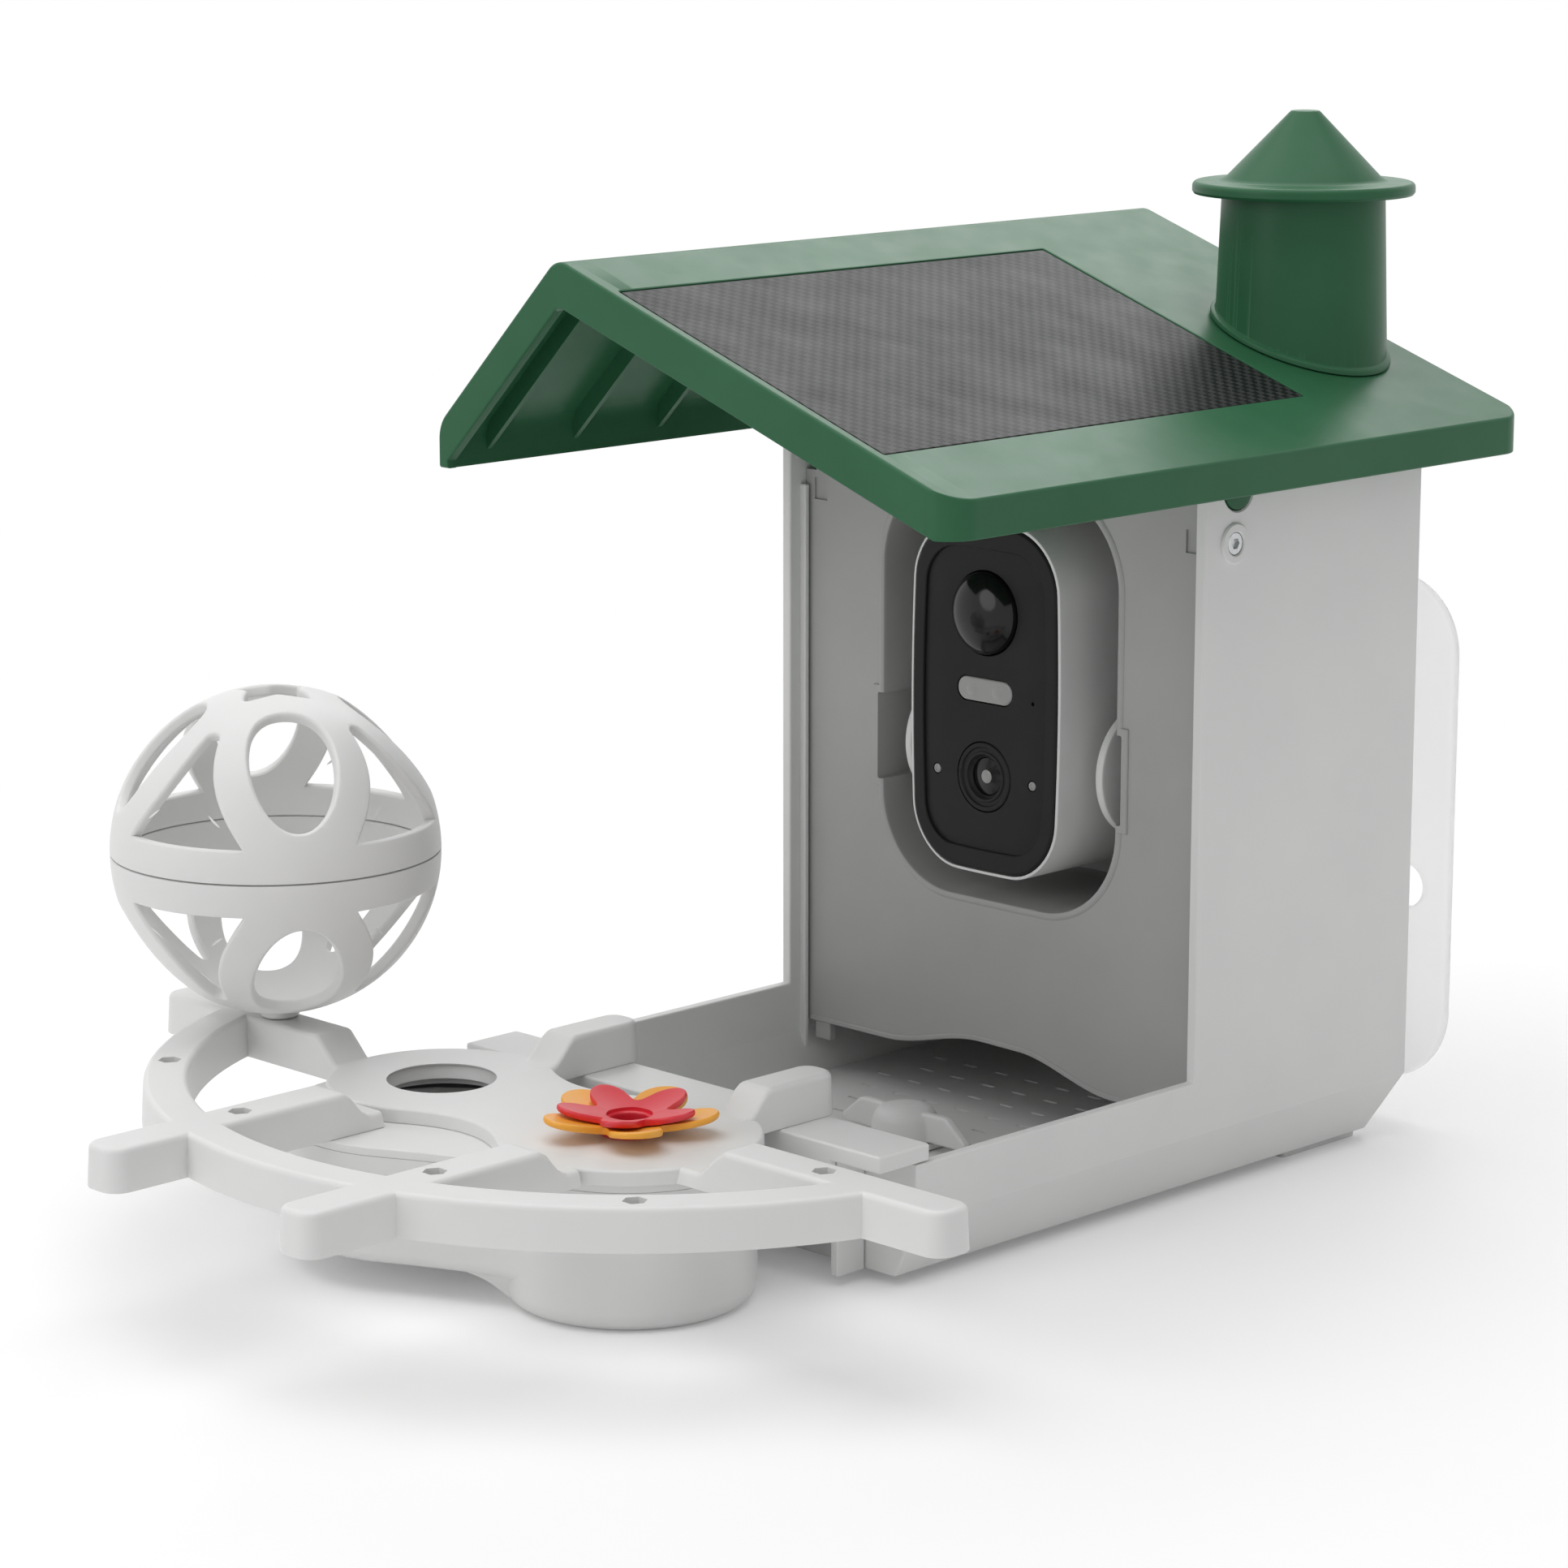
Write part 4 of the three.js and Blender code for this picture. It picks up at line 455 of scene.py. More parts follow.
# Each plastic's colour, second colour and roughness, then its grain, gloss and how far light goes into it
FINISHES = {
    "white_plastic": moulded("white_plastic", (0.80, 0.80, 0.79), (0.77, 0.77, 0.765), 0.45, 0.12, 0.4, 0.12),
    "frosted_plastic": frosted("frosted_plastic"),
    # On the hopper front, grey_plastic's grey is painted shade: it darkens that panel to the shade that falls
    # under the roof
    "grey_plastic": moulded("grey_plastic", (0.44, 0.44, 0.435), (0.41, 0.41, 0.405), 0.5, 0.12, 0.3),
    "green_plastic": moulded("green_plastic", (0.030, 0.130, 0.060), (0.024, 0.112, 0.050), 0.38, 0.2, 0.2),
    "solar_cells": solar_cells("solar_cells"),
    "black_plastic": moulded("black_plastic", (0.020, 0.020, 0.020), (0.026, 0.026, 0.026), 0.42, 0.1, 0.12),
    "dark_window": dark_glass("dark_window"),
    "light_cover": moulded("light_cover", (0.36, 0.36, 0.355), (0.30, 0.30, 0.295), 0.3, 0.15, 0.5),
    "steel": metal("steel", (0.56, 0.57, 0.58), (0.46, 0.47, 0.48), 0.3),
    "brass": metal("brass", (0.62, 0.44, 0.18), (0.52, 0.36, 0.14), 0.35),
    "rubber": moulded("rubber", (0.045, 0.045, 0.047), (0.06, 0.06, 0.062), 0.8, 0.4, 0.3),
    "board": moulded("board", (0.012, 0.09, 0.035), (0.016, 0.11, 0.045), 0.4, 0.3, 0.5),
    "cell_wrap": moulded("cell_wrap", (0.03, 0.11, 0.27), (0.04, 0.13, 0.3), 0.35, 0.1, 0.5),
    "orange_petal": moulded("orange_petal", (0.95, 0.43, 0.03), (0.92, 0.39, 0.024), 0.42, 0.12, 0.7, 0.1),
    "red_petal": moulded("red_petal", (0.76, 0.018, 0.04), (0.72, 0.014, 0.034), 0.42, 0.12, 0.8, 0.1),
}

for entry in frame["record"]["subparts"]:
    mesh = frame["nodes"][entry["node"]].data
    mesh.materials.clear()
    mesh.materials.append(FINISHES[entry["material_slot"]])


# Repeated pieces, made by Geometry Nodes

def node_tree(name, sockets):
    tree = bpy.data.node_groups.new(name, "GeometryNodeTree")
    tree.interface.new_socket("Geometry", in_out="INPUT", socket_type="NodeSocketGeometry")
    tree.interface.new_socket("Geometry", in_out="OUTPUT", socket_type="NodeSocketGeometry")
    for label, kind in sockets:
        tree.interface.new_socket(label, in_out="INPUT", socket_type="NodeSocket" + kind)
    return tree, tree.nodes.new("NodeGroupInput"), tree.nodes.new("NodeGroupOutput")


def operate(tree, kind, operation, *values):
    node = tree.nodes.new(kind)
    node.operation = operation
    for i, value in enumerate(values):
        if isinstance(value, bpy.types.NodeSocket):
            tree.links.new(value, node.inputs[i])
        elif value is not None:
            node.inputs[i].default_value = value
    return node.outputs[0]


def close_tree(tree, given, result, spread):
    """Places the piece on every point, then makes it one real mesh with its finish."""
    real = tree.nodes.new("GeometryNodeRealizeInstances")
    paint = tree.nodes.new("GeometryNodeSetMaterial")
    tree.links.new(spread, real.inputs["Geometry"])
    tree.links.new(real.outputs["Geometry"], paint.inputs["Geometry"])
    tree.links.new(given.outputs["Material"], paint.inputs["Material"])
    tree.links.new(paint.outputs["Geometry"], result.inputs["Geometry"])
    return tree


def around_tree():
    """Copies of a piece about an upright line through Centre."""
    tree, given, result = node_tree(
        "around", [("Count", "Int"), ("Turn", "Float"), ("Centre", "Vector"), ("Material", "Material")]
    )
    points = tree.nodes.new("GeometryNodePoints")
    place = tree.nodes.new("GeometryNodeInstanceOnPoints")
    index = tree.nodes.new("GeometryNodeInputIndex")
    step = operate(tree, "ShaderNodeMath", "DIVIDE", 2 * math.pi, given.outputs["Count"])
    angle = operate(tree, "ShaderNodeMath", "MULTIPLY_ADD", index.outputs[0], step, given.outputs["Turn"])
    turn = tree.nodes.new("ShaderNodeCombineXYZ")
    tree.links.new(angle, turn.inputs["Z"])
    tree.links.new(given.outputs["Count"], points.inputs["Count"])
    tree.links.new(given.outputs["Centre"], points.inputs["Position"])
    tree.links.new(points.outputs[0], place.inputs["Points"])
    tree.links.new(given.outputs["Geometry"], place.inputs["Instance"])
    tree.links.new(turn.outputs[0], place.inputs["Rotation"])
    return close_tree(tree, given, result, place.outputs[0])


def rows_tree():
    """Rows of a piece from First: Columns by Rows, with none nearer to Clear than Radius.

    Where Stagger is set, every other row is short by one and moved half a step.
    """
    tree, given, result = node_tree("rows", [
        ("Columns", "Int"), ("Rows", "Int"), ("Stagger", "Bool"), ("First", "Vector"), ("Across", "Vector"),
        ("Down", "Vector"), ("Clear", "Vector"), ("Radius", "Float"), ("Material", "Material"),
    ])
    points = tree.nodes.new("GeometryNodePoints")
    drop = tree.nodes.new("GeometryNodeDeleteGeometry")
    drop.domain = "POINT"
    place = tree.nodes.new("GeometryNodeInstanceOnPoints")
    index = tree.nodes.new("GeometryNodeInputIndex").outputs[0]

    def number(operation, *values):
        return operate(tree, "ShaderNodeMath", operation, *values)

    total = number("MULTIPLY", given.outputs["Columns"], given.outputs["Rows"])
    row = number("FLOOR", number("DIVIDE", index, given.outputs["Columns"]))
    column = number("MODULO", index, given.outputs["Columns"])
    odd = number("MULTIPLY", number("MODULO", row, 2.0), given.outputs["Stagger"])
    shifted = number("MULTIPLY_ADD", odd, 0.5, column)
    scale = []
    for direction, amount in ((given.outputs["Across"], shifted), (given.outputs["Down"], row)):
        node = tree.nodes.new("ShaderNodeVectorMath")
        node.operation = "SCALE"
        tree.links.new(direction, node.inputs["Vector"])
        tree.links.new(amount, node.inputs["Scale"])
        scale.append(node.outputs["Vector"])
    spot = operate(tree, "ShaderNodeVectorMath", "ADD", *scale)
    spot = operate(tree, "ShaderNodeVectorMath", "ADD", spot, given.outputs["First"])
    away = tree.nodes.new("ShaderNodeVectorMath")
    away.operation = "DISTANCE"
    where = tree.nodes.new("GeometryNodeInputPosition")
    tree.links.new(where.outputs[0], away.inputs[0])
    tree.links.new(given.outputs["Clear"], away.inputs[1])
    close = number("LESS_THAN", away.outputs["Value"], given.outputs["Radius"])
    last = number("SUBTRACT", given.outputs["Columns"], 1.5)
    past = number("MULTIPLY", number("GREATER_THAN", column, last), odd)
    unwanted = number("MAXIMUM", close, past)
    tree.links.new(total, points.inputs["Count"])
    tree.links.new(spot, points.inputs["Position"])
    tree.links.new(points.outputs[0], drop.inputs["Geometry"])
    tree.links.new(unwanted, drop.inputs["Selection"])
    tree.links.new(drop.outputs[0], place.inputs["Points"])
    tree.links.new(given.outputs["Geometry"], place.inputs["Instance"])
    return close_tree(tree, given, result, place.outputs[0])


AROUND = around_tree()
ROWS = rows_tree()


def repeat(piece, tree, **values):
    step = piece.modifiers.new(tree.name, "NODES")
    step.node_group = tree
    for item in tree.interface.items_tree:
        if item.in_out == "INPUT" and item.name in values:
            step[item.identifier] = values[item.name]
    return settle(piece)


# Roof

STEEP_STRETCH, SHALLOW_STRETCH = math.hypot(1, STEEP), math.hypot(1, SHALLOW)
SOLAR_FRONT = ROOF_FRONT + SOLAR_MARGIN
SOLAR_SLAB = SOLAR_RECESS + SOLAR_FLOOR


def steep_z(x, inset=0.0):
    return APEX_Z + (x - APEX_X) * STEEP - inset * STEEP_STRETCH


def shallow_z(x, inset=0.0):
    return APEX_Z - (x - APEX_X) * SHALLOW - inset * SHALLOW_STRETCH


def ridge_x(steep_inset, shallow_inset):
    """Where the two slopes meet when each is inset."""
    return APEX_X + (steep_inset * STEEP_STRETCH - shallow_inset * SHALLOW_STRETCH) / (STEEP + SHALLOW)


def gable(left, right, steep_inset, shallow_inset, base, radii):
    """The roof's section between two insets at its sides. radii: right, ridge, left and foot."""
    left, right = ROOF_LEFT + left, ROOF_RIGHT - right
    ridge = ridge_x(steep_inset, shallow_inset)
    return rounded([
        (left, base, radii[3]), (right, base, radii[3]), (right, shallow_z(right, shallow_inset), radii[0]),
        (ridge, shallow_z(ridge, shallow_inset), radii[1]), (left, steep_z(left, steep_inset), radii[2]),
    ], 8)


def drawn_in(radius, depth):
    """How far a round edge lies in, at a depth below its face."""
    return radius - math.sqrt(max(0.0, radius ** 2 - max(0.0, radius - depth) ** 2))


def roof_sections(wall, base, edge, corner):
    """Sections of the gable from front to rear, drawn in at the plan's round corner and at the rounded ends."""
    sections = []
    depths = sorted({depth for _, depth in edge_steps(edge, 5) + edge_steps(corner, 12)})
    for end, way in ((ROOF_FRONT + wall, 1), (ROOF_REAR - wall, -1)):
        for depth in depths[::way]:
            inset = wall + drawn_in(edge, depth)
            radii = (RIGHT_ROUND, RIDGE_ROUND, LEFT_ROUND - wall, FOOT_ROUND)
            outline = gable(inset, inset + drawn_in(corner, depth), inset, inset, base + inset - wall, radii)
            sections.append((end + way * depth, outline))
    return sections


def on_slope(piece):
    """Lays a piece on the shallow slope: its X runs down from the ridge, its Z is the height over the slope."""
    piece.data.transform(Matrix.Translation((APEX_X, 0, APEX_Z)) @ Matrix.Rotation(math.atan(SHALLOW), 4, "Y"))
    return piece


def gable_mouth():
    """Opens both gables, which leaves a fascia along each slope, with a rounded rim at either end."""
    side, steep_fascia, shallow_fascia = SHEET + 0.5, 9.0, 11.2
    rim = (-OVER, 1.0), (0, 0.6), (0.2, 0.2), (0.6, 0)
    stations = [(ROOF_FRONT + depth, flare) for depth, flare in rim]
    stations += [(ROOF_REAR - depth, flare) for depth, flare in reversed(rim)]
    return loft("y", [(at, gable(
        side - flare, side - flare, steep_fascia - flare, shallow_fascia - flare, EAVE - SHEET, (0.4, 3, 0.4, 0)
    )) for at, flare in stations])


def solar_outline(grow):
    left, right = SOLAR_START - FIT - grow, SOLAR_START + SOLAR_WIDTH + FIT + grow
    return panel_outline(left, right, SOLAR_FRONT - grow, SOLAR_FRONT + SOLAR_LENGTH + grow, 0.6 + grow, 4)


def roof_shell():
    shell = loft("y", roof_sections(0, EAVE, ROOF_EDGE, ROOF_CORNER))
    hollow = loft("y", roof_sections(SHEET, EAVE - SHEET, 0.01, ROOF_CORNER - SHEET))
    cut(shell, hollow, gable_mouth())
    join(shell, on_slope(block(
        SOLAR_START - SHEET, SOLAR_START + SOLAR_WIDTH + SHEET,
        SOLAR_FRONT - FIT, SOLAR_FRONT + SOLAR_LENGTH + SHEET,
        -SOLAR_SLAB, 0.5 - SOLAR_RECESS,
    )))
    rib_low, rib_high, sunk, tall, half = ROOF_LEFT + SHEET - 0.5, APEX_X - 6, SHEET - 0.5, SHEET + 4.5, 0.8
    rib = prism("y", [
        (rib_low, steep_z(rib_low, sunk)), (rib_low, steep_z(rib_low, tall)),
        (rib_high, steep_z(rib_high, tall)), (rib_high, steep_z(rib_high, sunk)),
    ], -half, half)
    join(shell, repeat(rib, ROWS, Columns=1, Rows=3, First=(0, -97.6, 0), Down=(0, 30.5, 0), Radius=0.0))
    for side in (-1, 1):
        root = min(steep_z(side * EAR_FACE, SHEET), shallow_z(side * EAR_FACE, SHEET)) + SHEET / 2
        ear = arc(PIVOT_Y, PIVOT_Z, EAR_RADIUS, math.pi, 2 * math.pi, 24)
        ear += [(PIVOT_Y + EAR_RADIUS, root), (PIVOT_Y - EAR_RADIUS, root)]
        join(shell, prism("x", ear, *span(side, EAR_FACE - EAR, EAR_FACE)))
    rim = (-SOLAR_RECESS, 0), (-0.5, 0), (-0.15, 0.15), (0, 0.5), (SHEET, 0.8)
    recess = on_slope(loft_of("z", solar_outline, rim))
    shaft, shaft_rear = 17, 82
    lift = math.asin((shaft_rear - CHIMNEY_Y) / shaft)
    fill = prism("z", arc(CHIMNEY_X, CHIMNEY_Y, shaft, math.pi - lift, 2 * math.pi + lift, 64), EAVE, APEX_Z)
    bore = prism("x", circle(PIVOT_Y, PIVOT_Z, PIVOT_SHAFT + FIT, 32), -HOUSE_HALF, HOUSE_HALF)
    return cut(shell, recess, fill, bore)


def solar_panel():
    front, under, over = SOLAR_FRONT + FIT, -SOLAR_RECESS + FIT, -0.2

    def outline(inset):
        rear = front + SOLAR_LENGTH - 2 * FIT - inset
        across = SOLAR_START + inset, SOLAR_START + SOLAR_WIDTH - inset
        return panel_outline(*across, front + inset, rear, 0.7 - inset / 2, 4)

    return on_slope(moulding(outline, under, over, 0.4))


def slope_ring(profile, steps=128):
    """A ring on the slope about the chimney's line, through radii and heights over the slope."""
    vertices, faces = [], []
    for radius, height in profile:
        for x, y in circle(CHIMNEY_X, CHIMNEY_Y, radius, steps):
            vertices.append((x, y, shallow_z(x, -height)))
    for layer in range(len(profile)):
        here, after = layer * steps, (layer + 1) % len(profile) * steps
        for i in range(steps):
            ahead = (i + 1) % steps
            faces.append((here + i, here + ahead, after + ahead, after + i))
    return solid(vertices, faces)


def filler_chimney():
    bore, base, bend, top = 20.5, 22.9, shallow_z(CHIMNEY_X), CHIMNEY_TOP
    tube = lathe("z", (CHIMNEY_X, CHIMNEY_Y), [
        (bore, EAVE), (base, EAVE), (base, bend), (21.62, top - 0.5), (21.45, top - 0.15), (21.1, top),
        (19.6, top), (19.3, top - 0.15), (19.2, top - 0.5), (bore, bend),
    ], 128)
    ring = [(20.6, 0), (23.8, 0), (24, 0.2), (24, 0.9), (23.85, 1.3), (23.5, 1.5)]
    ring += [(22.95, 1.7), (22.7, 2.3), (20.6, 2.3)]
    flange = slope_ring([(radius, FIT + height) for radius, height in ring])
    below = on_slope(block(-200, 200, 0, 220, -CHIMNEY_TOP, FIT))
    return join(cut(tube, below), flange)


def chimney_cap():
    """A cone with a rounded tip over a flat brim, and the skirt that stands in the chimney."""
    low = CHIMNEY_TOP + FIT
    top = low + 3.3
    tip, tip_z, brim, skirt, skirt_low, bore = 3.3, top + 17.5, 29.4, 18.9, low - 8, 16.9
    turns = [0.15 * math.pi * i / 3 + 0.05 for i in range(4)]
    profile = [(0, tip_z + 1)] + [(tip + math.sin(a), tip_z + math.cos(a)) for a in turns]
    profile += [(4.3, top + 17.9), (20.4, top + 1.2), (21.6, top + 0.5), (22.8, top + 0.1)]
    profile += [(brim - inset, top - depth) for inset, depth in edge_steps(1.3, 6)]
    profile += [(brim, low + 0.7), (28.9, low), (skirt, low), (skirt, skirt_low), (bore, skirt_low)]
    profile += [(bore, low + 1.1), (3.2, low + 15), (0, low + 15)]
    return lathe("z", (CHIMNEY_X, CHIMNEY_Y), profile, 128)


# Perch wheel

def lobe_outline(right, left, inset, steps=56):
    """Two round lobes joined by drawn-in waists. A lobe is x, y, radius and where its waists start."""
    def at(lobe, angle):
        x, y, radius = lobe[:3]
        return Vector((x + (radius - inset) * math.cos(angle), y + (radius - inset) * math.sin(angle)))

    def waist(start_lobe, start_angle, end_lobe, end_angle):
        start, end = at(start_lobe, start_angle), at(end_lobe, end_angle)
        ahead = Vector((-math.sin(start_angle), math.cos(start_angle)))
        behind = Vector((-math.sin(end_angle), math.cos(end_angle)))
        gap = end - start
        crossing = ahead.x * behind.y - ahead.y * behind.x
        bend = start + ahead * ((gap.x * behind.y - gap.y * behind.x) / crossing)
        shares = [i / 24 for i in range(1, 24)]
        return [tuple(start * (1 - t) ** 2 + bend * 2 * t * (1 - t) + end * t * t) for t in shares]

    return (
        arc(right[0], right[1], right[2] - inset, right[3], right[4], steps)
        + waist(right, right[4], left, left[4])
        + arc(left[0], left[1], left[2] - inset, left[4], left[3] + 2 * math.pi, steps)
        + waist(left, left[3], right, right[3])
    )


def hub_outline(inset):
    return lobe_outline((FLOWER_X, HUB_Y, 32.5, -2.18, 2.18), (PORT_X, HUB_Y, 29, -1.05, 1.05), inset)


def bowl_outline(inset):
    return lobe_outline((FLOWER_X, HUB_Y, CUP_RADIUS, -1.745, 1.658), (-34, -163.5, 38, -1.082, 1.484), inset)


def rounded_layers(low, high, radius, foot=0.4, draft=0.0, steps=5):
    """Heights and insets of a moulding with a rounded top edge, a small lower edge and tapered sides."""
    layers = [(low, foot), (low + foot * 0.3, foot * 0.3), (low + foot, 0.0)]
    layers += [(high - depth, draft + inset) for inset, depth in reversed(edge_steps(radius, steps))]
    return layers


def moulding(outline, low, high, radius, foot=0.4, draft=0.0, steps=5):
    """A rounded plate. outline gives its plan for an inset."""
    return loft_of("z", outline, rounded_layers(low, high, radius, foot, draft, steps))


def eased(share):
    """A share from nought to one, that starts and stops gently."""
    share = max(0.0, min(1.0, share))
    return share * share * (3 - 2 * share)


def bar(along, middle, width, tip, root, top_slope, foot_slope, radius=1.5):
    """A straight bar with a rounded tip. Its top slopes down onto the hub between the two slopes."""
    corner, half = 5.0, width / 2
    inward = 1 if root > tip else -1
    straight = tip + inward * corner
    stations = [straight + (root - straight) * i / 24 for i in range(25)]
    stations = sorted(stations + [top_slope, foot_slope], key=lambda at: inward * at)

    def fall(at):
        return (WHEEL_HIGH - HUB_HIGH - 0.01) * eased((at - top_slope) / (foot_slope - top_slope))

    def side(inset):
        turn = arc(0, 0, corner - inset, 0, math.pi / 2, 8)
        round_tip = [(tip + inward * (corner - a), half - corner + b) for a, b in turn]
        return round_tip + [(at, half - inset) for at in stations[1:]]

    layers = rounded_layers(WHEEL_LOW, WHEEL_HIGH, radius, 0.3, 0.5)
    vertices, count = [], 0
    for height, inset in layers:
        edge = side(inset)
        loop = [(at, middle + off) for at, off in edge] + [(at, middle - off) for at, off in reversed(edge)]
        count = len(loop)
        falls = height > (WHEEL_LOW + WHEEL_HIGH) / 2
        for at, off in loop:
            z = height - fall(at) if falls else height
            vertices.append((at, off, z) if along == "x" else (off, at, z))
    faces = bands(len(layers), count)
    for start in (0, (len(layers) - 1) * count):
        for i in range(count // 2 - 1):
            faces.append((start + i, start + i + 1, start + count - 2 - i, start + count - 1 - i))
    return solid(vertices, faces)


def hole(x, y, radius, low, high, flare=0.5, foot=0.0, steps=96):
    """A round hole's cutter that widens upwards and draws in again at its upper rim."""
    profile = [(0, low - OVER), (radius + foot, low - OVER), (radius + foot, low), (radius, low + foot)]
    profile += [(radius + flare - a, high - b) for b, a in arc(0, 0, flare, 0, math.pi / 2, 4)]
    profile += [(radius + flare, high + OVER), (0, high + OVER)]
    return lathe("z", (x, y), profile, steps)


def bracket_bores(low, high):
    return [prism("z", circle(side * SPOKE_X, BRACKET_Y, SCREW_BORE, 24), low, high) for side in (-1, 1)]


def sockets():
    """Where the ring, the cross bars and the front spokes have their six-sided sockets."""
    middle, near_x = RING_RADIUS - RING_WIDTH / 2, 84.6
    ring_y = RING_Y - math.sqrt(middle ** 2 - near_x ** 2)
    spots = (-BALL.x, CROSS_Y), (35.6, -223.4), (near_x, ring_y)
    return [(side * x, y) for side in (-1, 1) for x, y in spots]


def perch_wheel():
    lean = math.asin((RING_Y - CROSS_Y) / RING_RADIUS)

    def sector(inset):
        front = arc(0, RING_Y, RING_RADIUS - inset, -math.pi + lean, -lean, 180)
        return front + arc(0, RING_Y, RING_RADIUS - RING_WIDTH + inset, -lean, -math.pi + lean, 180)

    wheel = moulding(sector, WHEEL_LOW, WHEEL_HIGH, 1.5, 0.4, 0.5)
    hub = moulding(hub_outline, WHEEL_LOW, HUB_HIGH, 0.8, 0.3)
    bars = [
        bar("x", CROSS_Y, 13, -CROSS_REACH, -57, -77.7, -69),
        bar("x", CROSS_Y, 13, CROSS_REACH, 50, 72, 62),
    ]
    for side in (-1, 1):
        bars.append(bar("y", side * 35.6, 13.4, SPOKE_TIP, -184.1, -196, -188))
        bars.append(bar("y", side * SPOKE_X, 12, -95.6, -131.9, -119, -128))
    join(wheel, hub, *bars)
    low, bore_top = WHEEL_LOW - OVER, 42.5
    hexes = [prism("z", circle(x, y, 3, 6), low, WHEEL_HIGH + OVER) for x, y in sockets()]
    port = hole(PORT_X, HUB_Y, PORT_RADIUS, WHEEL_LOW, HUB_HIGH, 0.8)
    flower_hole = hole(FLOWER_X, HUB_Y, 6, WHEEL_LOW, HUB_HIGH, 0.3)
    return cut(wheel, port, flower_hole, *hexes, *bracket_bores(low, bore_top))


# Nesting ball

BALL_INNER = BALL_RADIUS - BALL_WALL


def ball_spot(turn, latitude):
    across = math.cos(latitude)
    return Vector((across * math.sin(turn), -across * math.cos(turn), math.sin(latitude)))


def window_cutter(outline):
    """A cone through the ball's wall along turns and latitudes, flared where it meets either face."""
    spots = [ball_spot(*spot) for spot in outline]
    count = len(spots)
    middle = sum(spots, Vector()).normalized()
    inner_flares = (-1.2, 0.9), (0, 0.55), (0.3, 0.16), (0.7, 0)
    outer_flares = (-1, 0), (-0.5, 0.13), (-0.15, 0.45), (0, 0.8), (1.5, 1.3)
    layers = [(BALL_INNER + height, flare) for height, flare in inner_flares]
    layers += [(BALL_RADIUS + height, flare) for height, flare in outer_flares]
    vertices = []
    for radius, flare in layers:
        for i, spot in enumerate(spots):
            away = (spots[(i + 1) % count] - spots[i - 1]).cross(spot).normalized()
            if away.dot(spot - middle) < 0 and away.dot(middle) > 0:
                away = -away
            vertices.append((spot + away * (flare / BALL_RADIUS)).normalized() * radius)
    faces = bands(len(layers), count)
    for start, radius in ((0, layers[0][0]), ((len(layers) - 1) * count, layers[-1][0])):
        vertices.append(middle * radius)
        faces += [(start + i, start + (i + 1) % count, len(vertices) - 1) for i in range(count)]
    return solid(vertices, faces)


def oval_outline(sign, steps=64):
    middle, width, height = 0.725, 11.3, 17.9
    spots = []
    for x, y in circle(0, 0, 1, steps):
        latitude = middle + y * height / BALL_RADIUS
        spots.append((x * width / (BALL_RADIUS * math.cos(latitude)), sign * latitude))
    return spots


def arched_outline(sign, steps=16):
    """A window between two ovals: a straight foot, two sides that follow the ovals and a rounded top."""
    low, high, foot, head, bulge, crown = 0.21, 0.9, 0.425, 0.075, 0.05, 0.045
    right = []
    for i in range(steps + 1):
        share = i / steps
        width = foot + (head - foot) * share - bulge * math.sin(math.pi * share)
        right.append((width, low + (high - low) * share))
    top = [(head * x, high + crown * y) for x, y in arc(0, 0, 1, 0, math.pi, 8)[1:-1]]
    feet = [(-foot + 2 * foot * i / 14, low) for i in range(1, 14)]
    spots = [(-foot, low)] + feet + right + top + [(-turn, latitude) for turn, latitude in reversed(right[1:])]
    return [(turn, sign * latitude) for turn, latitude in spots]


def crown_outline():
    """The opening at the top: four sides that follow the ovals and meet in small cut corners."""
    reach, narrow, swell, power = 0.94, 0.157, 0.13, 1.7
    spots = []
    for side in range(4):
        for i in range(15):
            share = -reach + 2 * reach * i / 14
            tilt = narrow + swell * abs(share) ** power
            spots.append(((side + 0.5 * share) * math.pi / 2, math.pi / 2 - tilt))
    return spots


def dome_profile(radius, low, steps=40):
    """A quarter circle from a height up to the pole."""
    start = math.asin(low / radius)
    turns = [start + (math.pi / 2 - start) * i / steps for i in range(steps)]
    return [(radius * math.cos(turn), radius * math.sin(turn)) for turn in turns] + [(0, radius)]


def ball_half(sign):
    seam, turn = 0.16, 1.047
    low = seam + 0.3
    profile = [(BALL_RADIUS - 0.42, seam), (BALL_RADIUS - 0.12, seam + 0.1)] + dome_profile(BALL_RADIUS, low)
    profile += dome_profile(BALL_INNER, low)[::-1] + [(BALL_INNER + 0.3, seam)]
    half = lathe("z", (0, 0), [(radius, sign * height) for radius, height in profile], 144)
    cutters = [
        repeat(window_cutter(oval_outline(sign)), AROUND, Count=4, Turn=turn),
        repeat(window_cutter(arched_outline(sign)), AROUND, Count=4, Turn=turn + math.pi / 4),
    ]
    if sign > 0:
        cutters.append(repeat(window_cutter(crown_outline()), AROUND, Count=1, Turn=turn))
    cut(half, *cutters)
    half.data.transform(Matrix.Translation(BALL))
    if sign < 0:
        foot, seat, peg_low = BALL.z - BALL_RADIUS, WHEEL_HIGH + FIT, 37.4
        root = foot + 1.6
        peg = prism("z", circle(BALL.x, BALL.y, 2.7, 6), peg_low, foot + 1.5)
        collar = [(0, seat), (4.6, seat), (5, seat + 0.4), (5, foot + 0.6), (5.6, root), (0, root)]
        join(half, peg, lathe("z", (BALL.x, BALL.y), collar, 64))
    return half


# Feeding flower

PETALS = 5


def seam_way(point):
    """The way out along the seam between two petals, on the point's side."""
    half = math.pi / PETALS
    return Vector((math.cos(half), math.copysign(math.sin(half), point.y)))


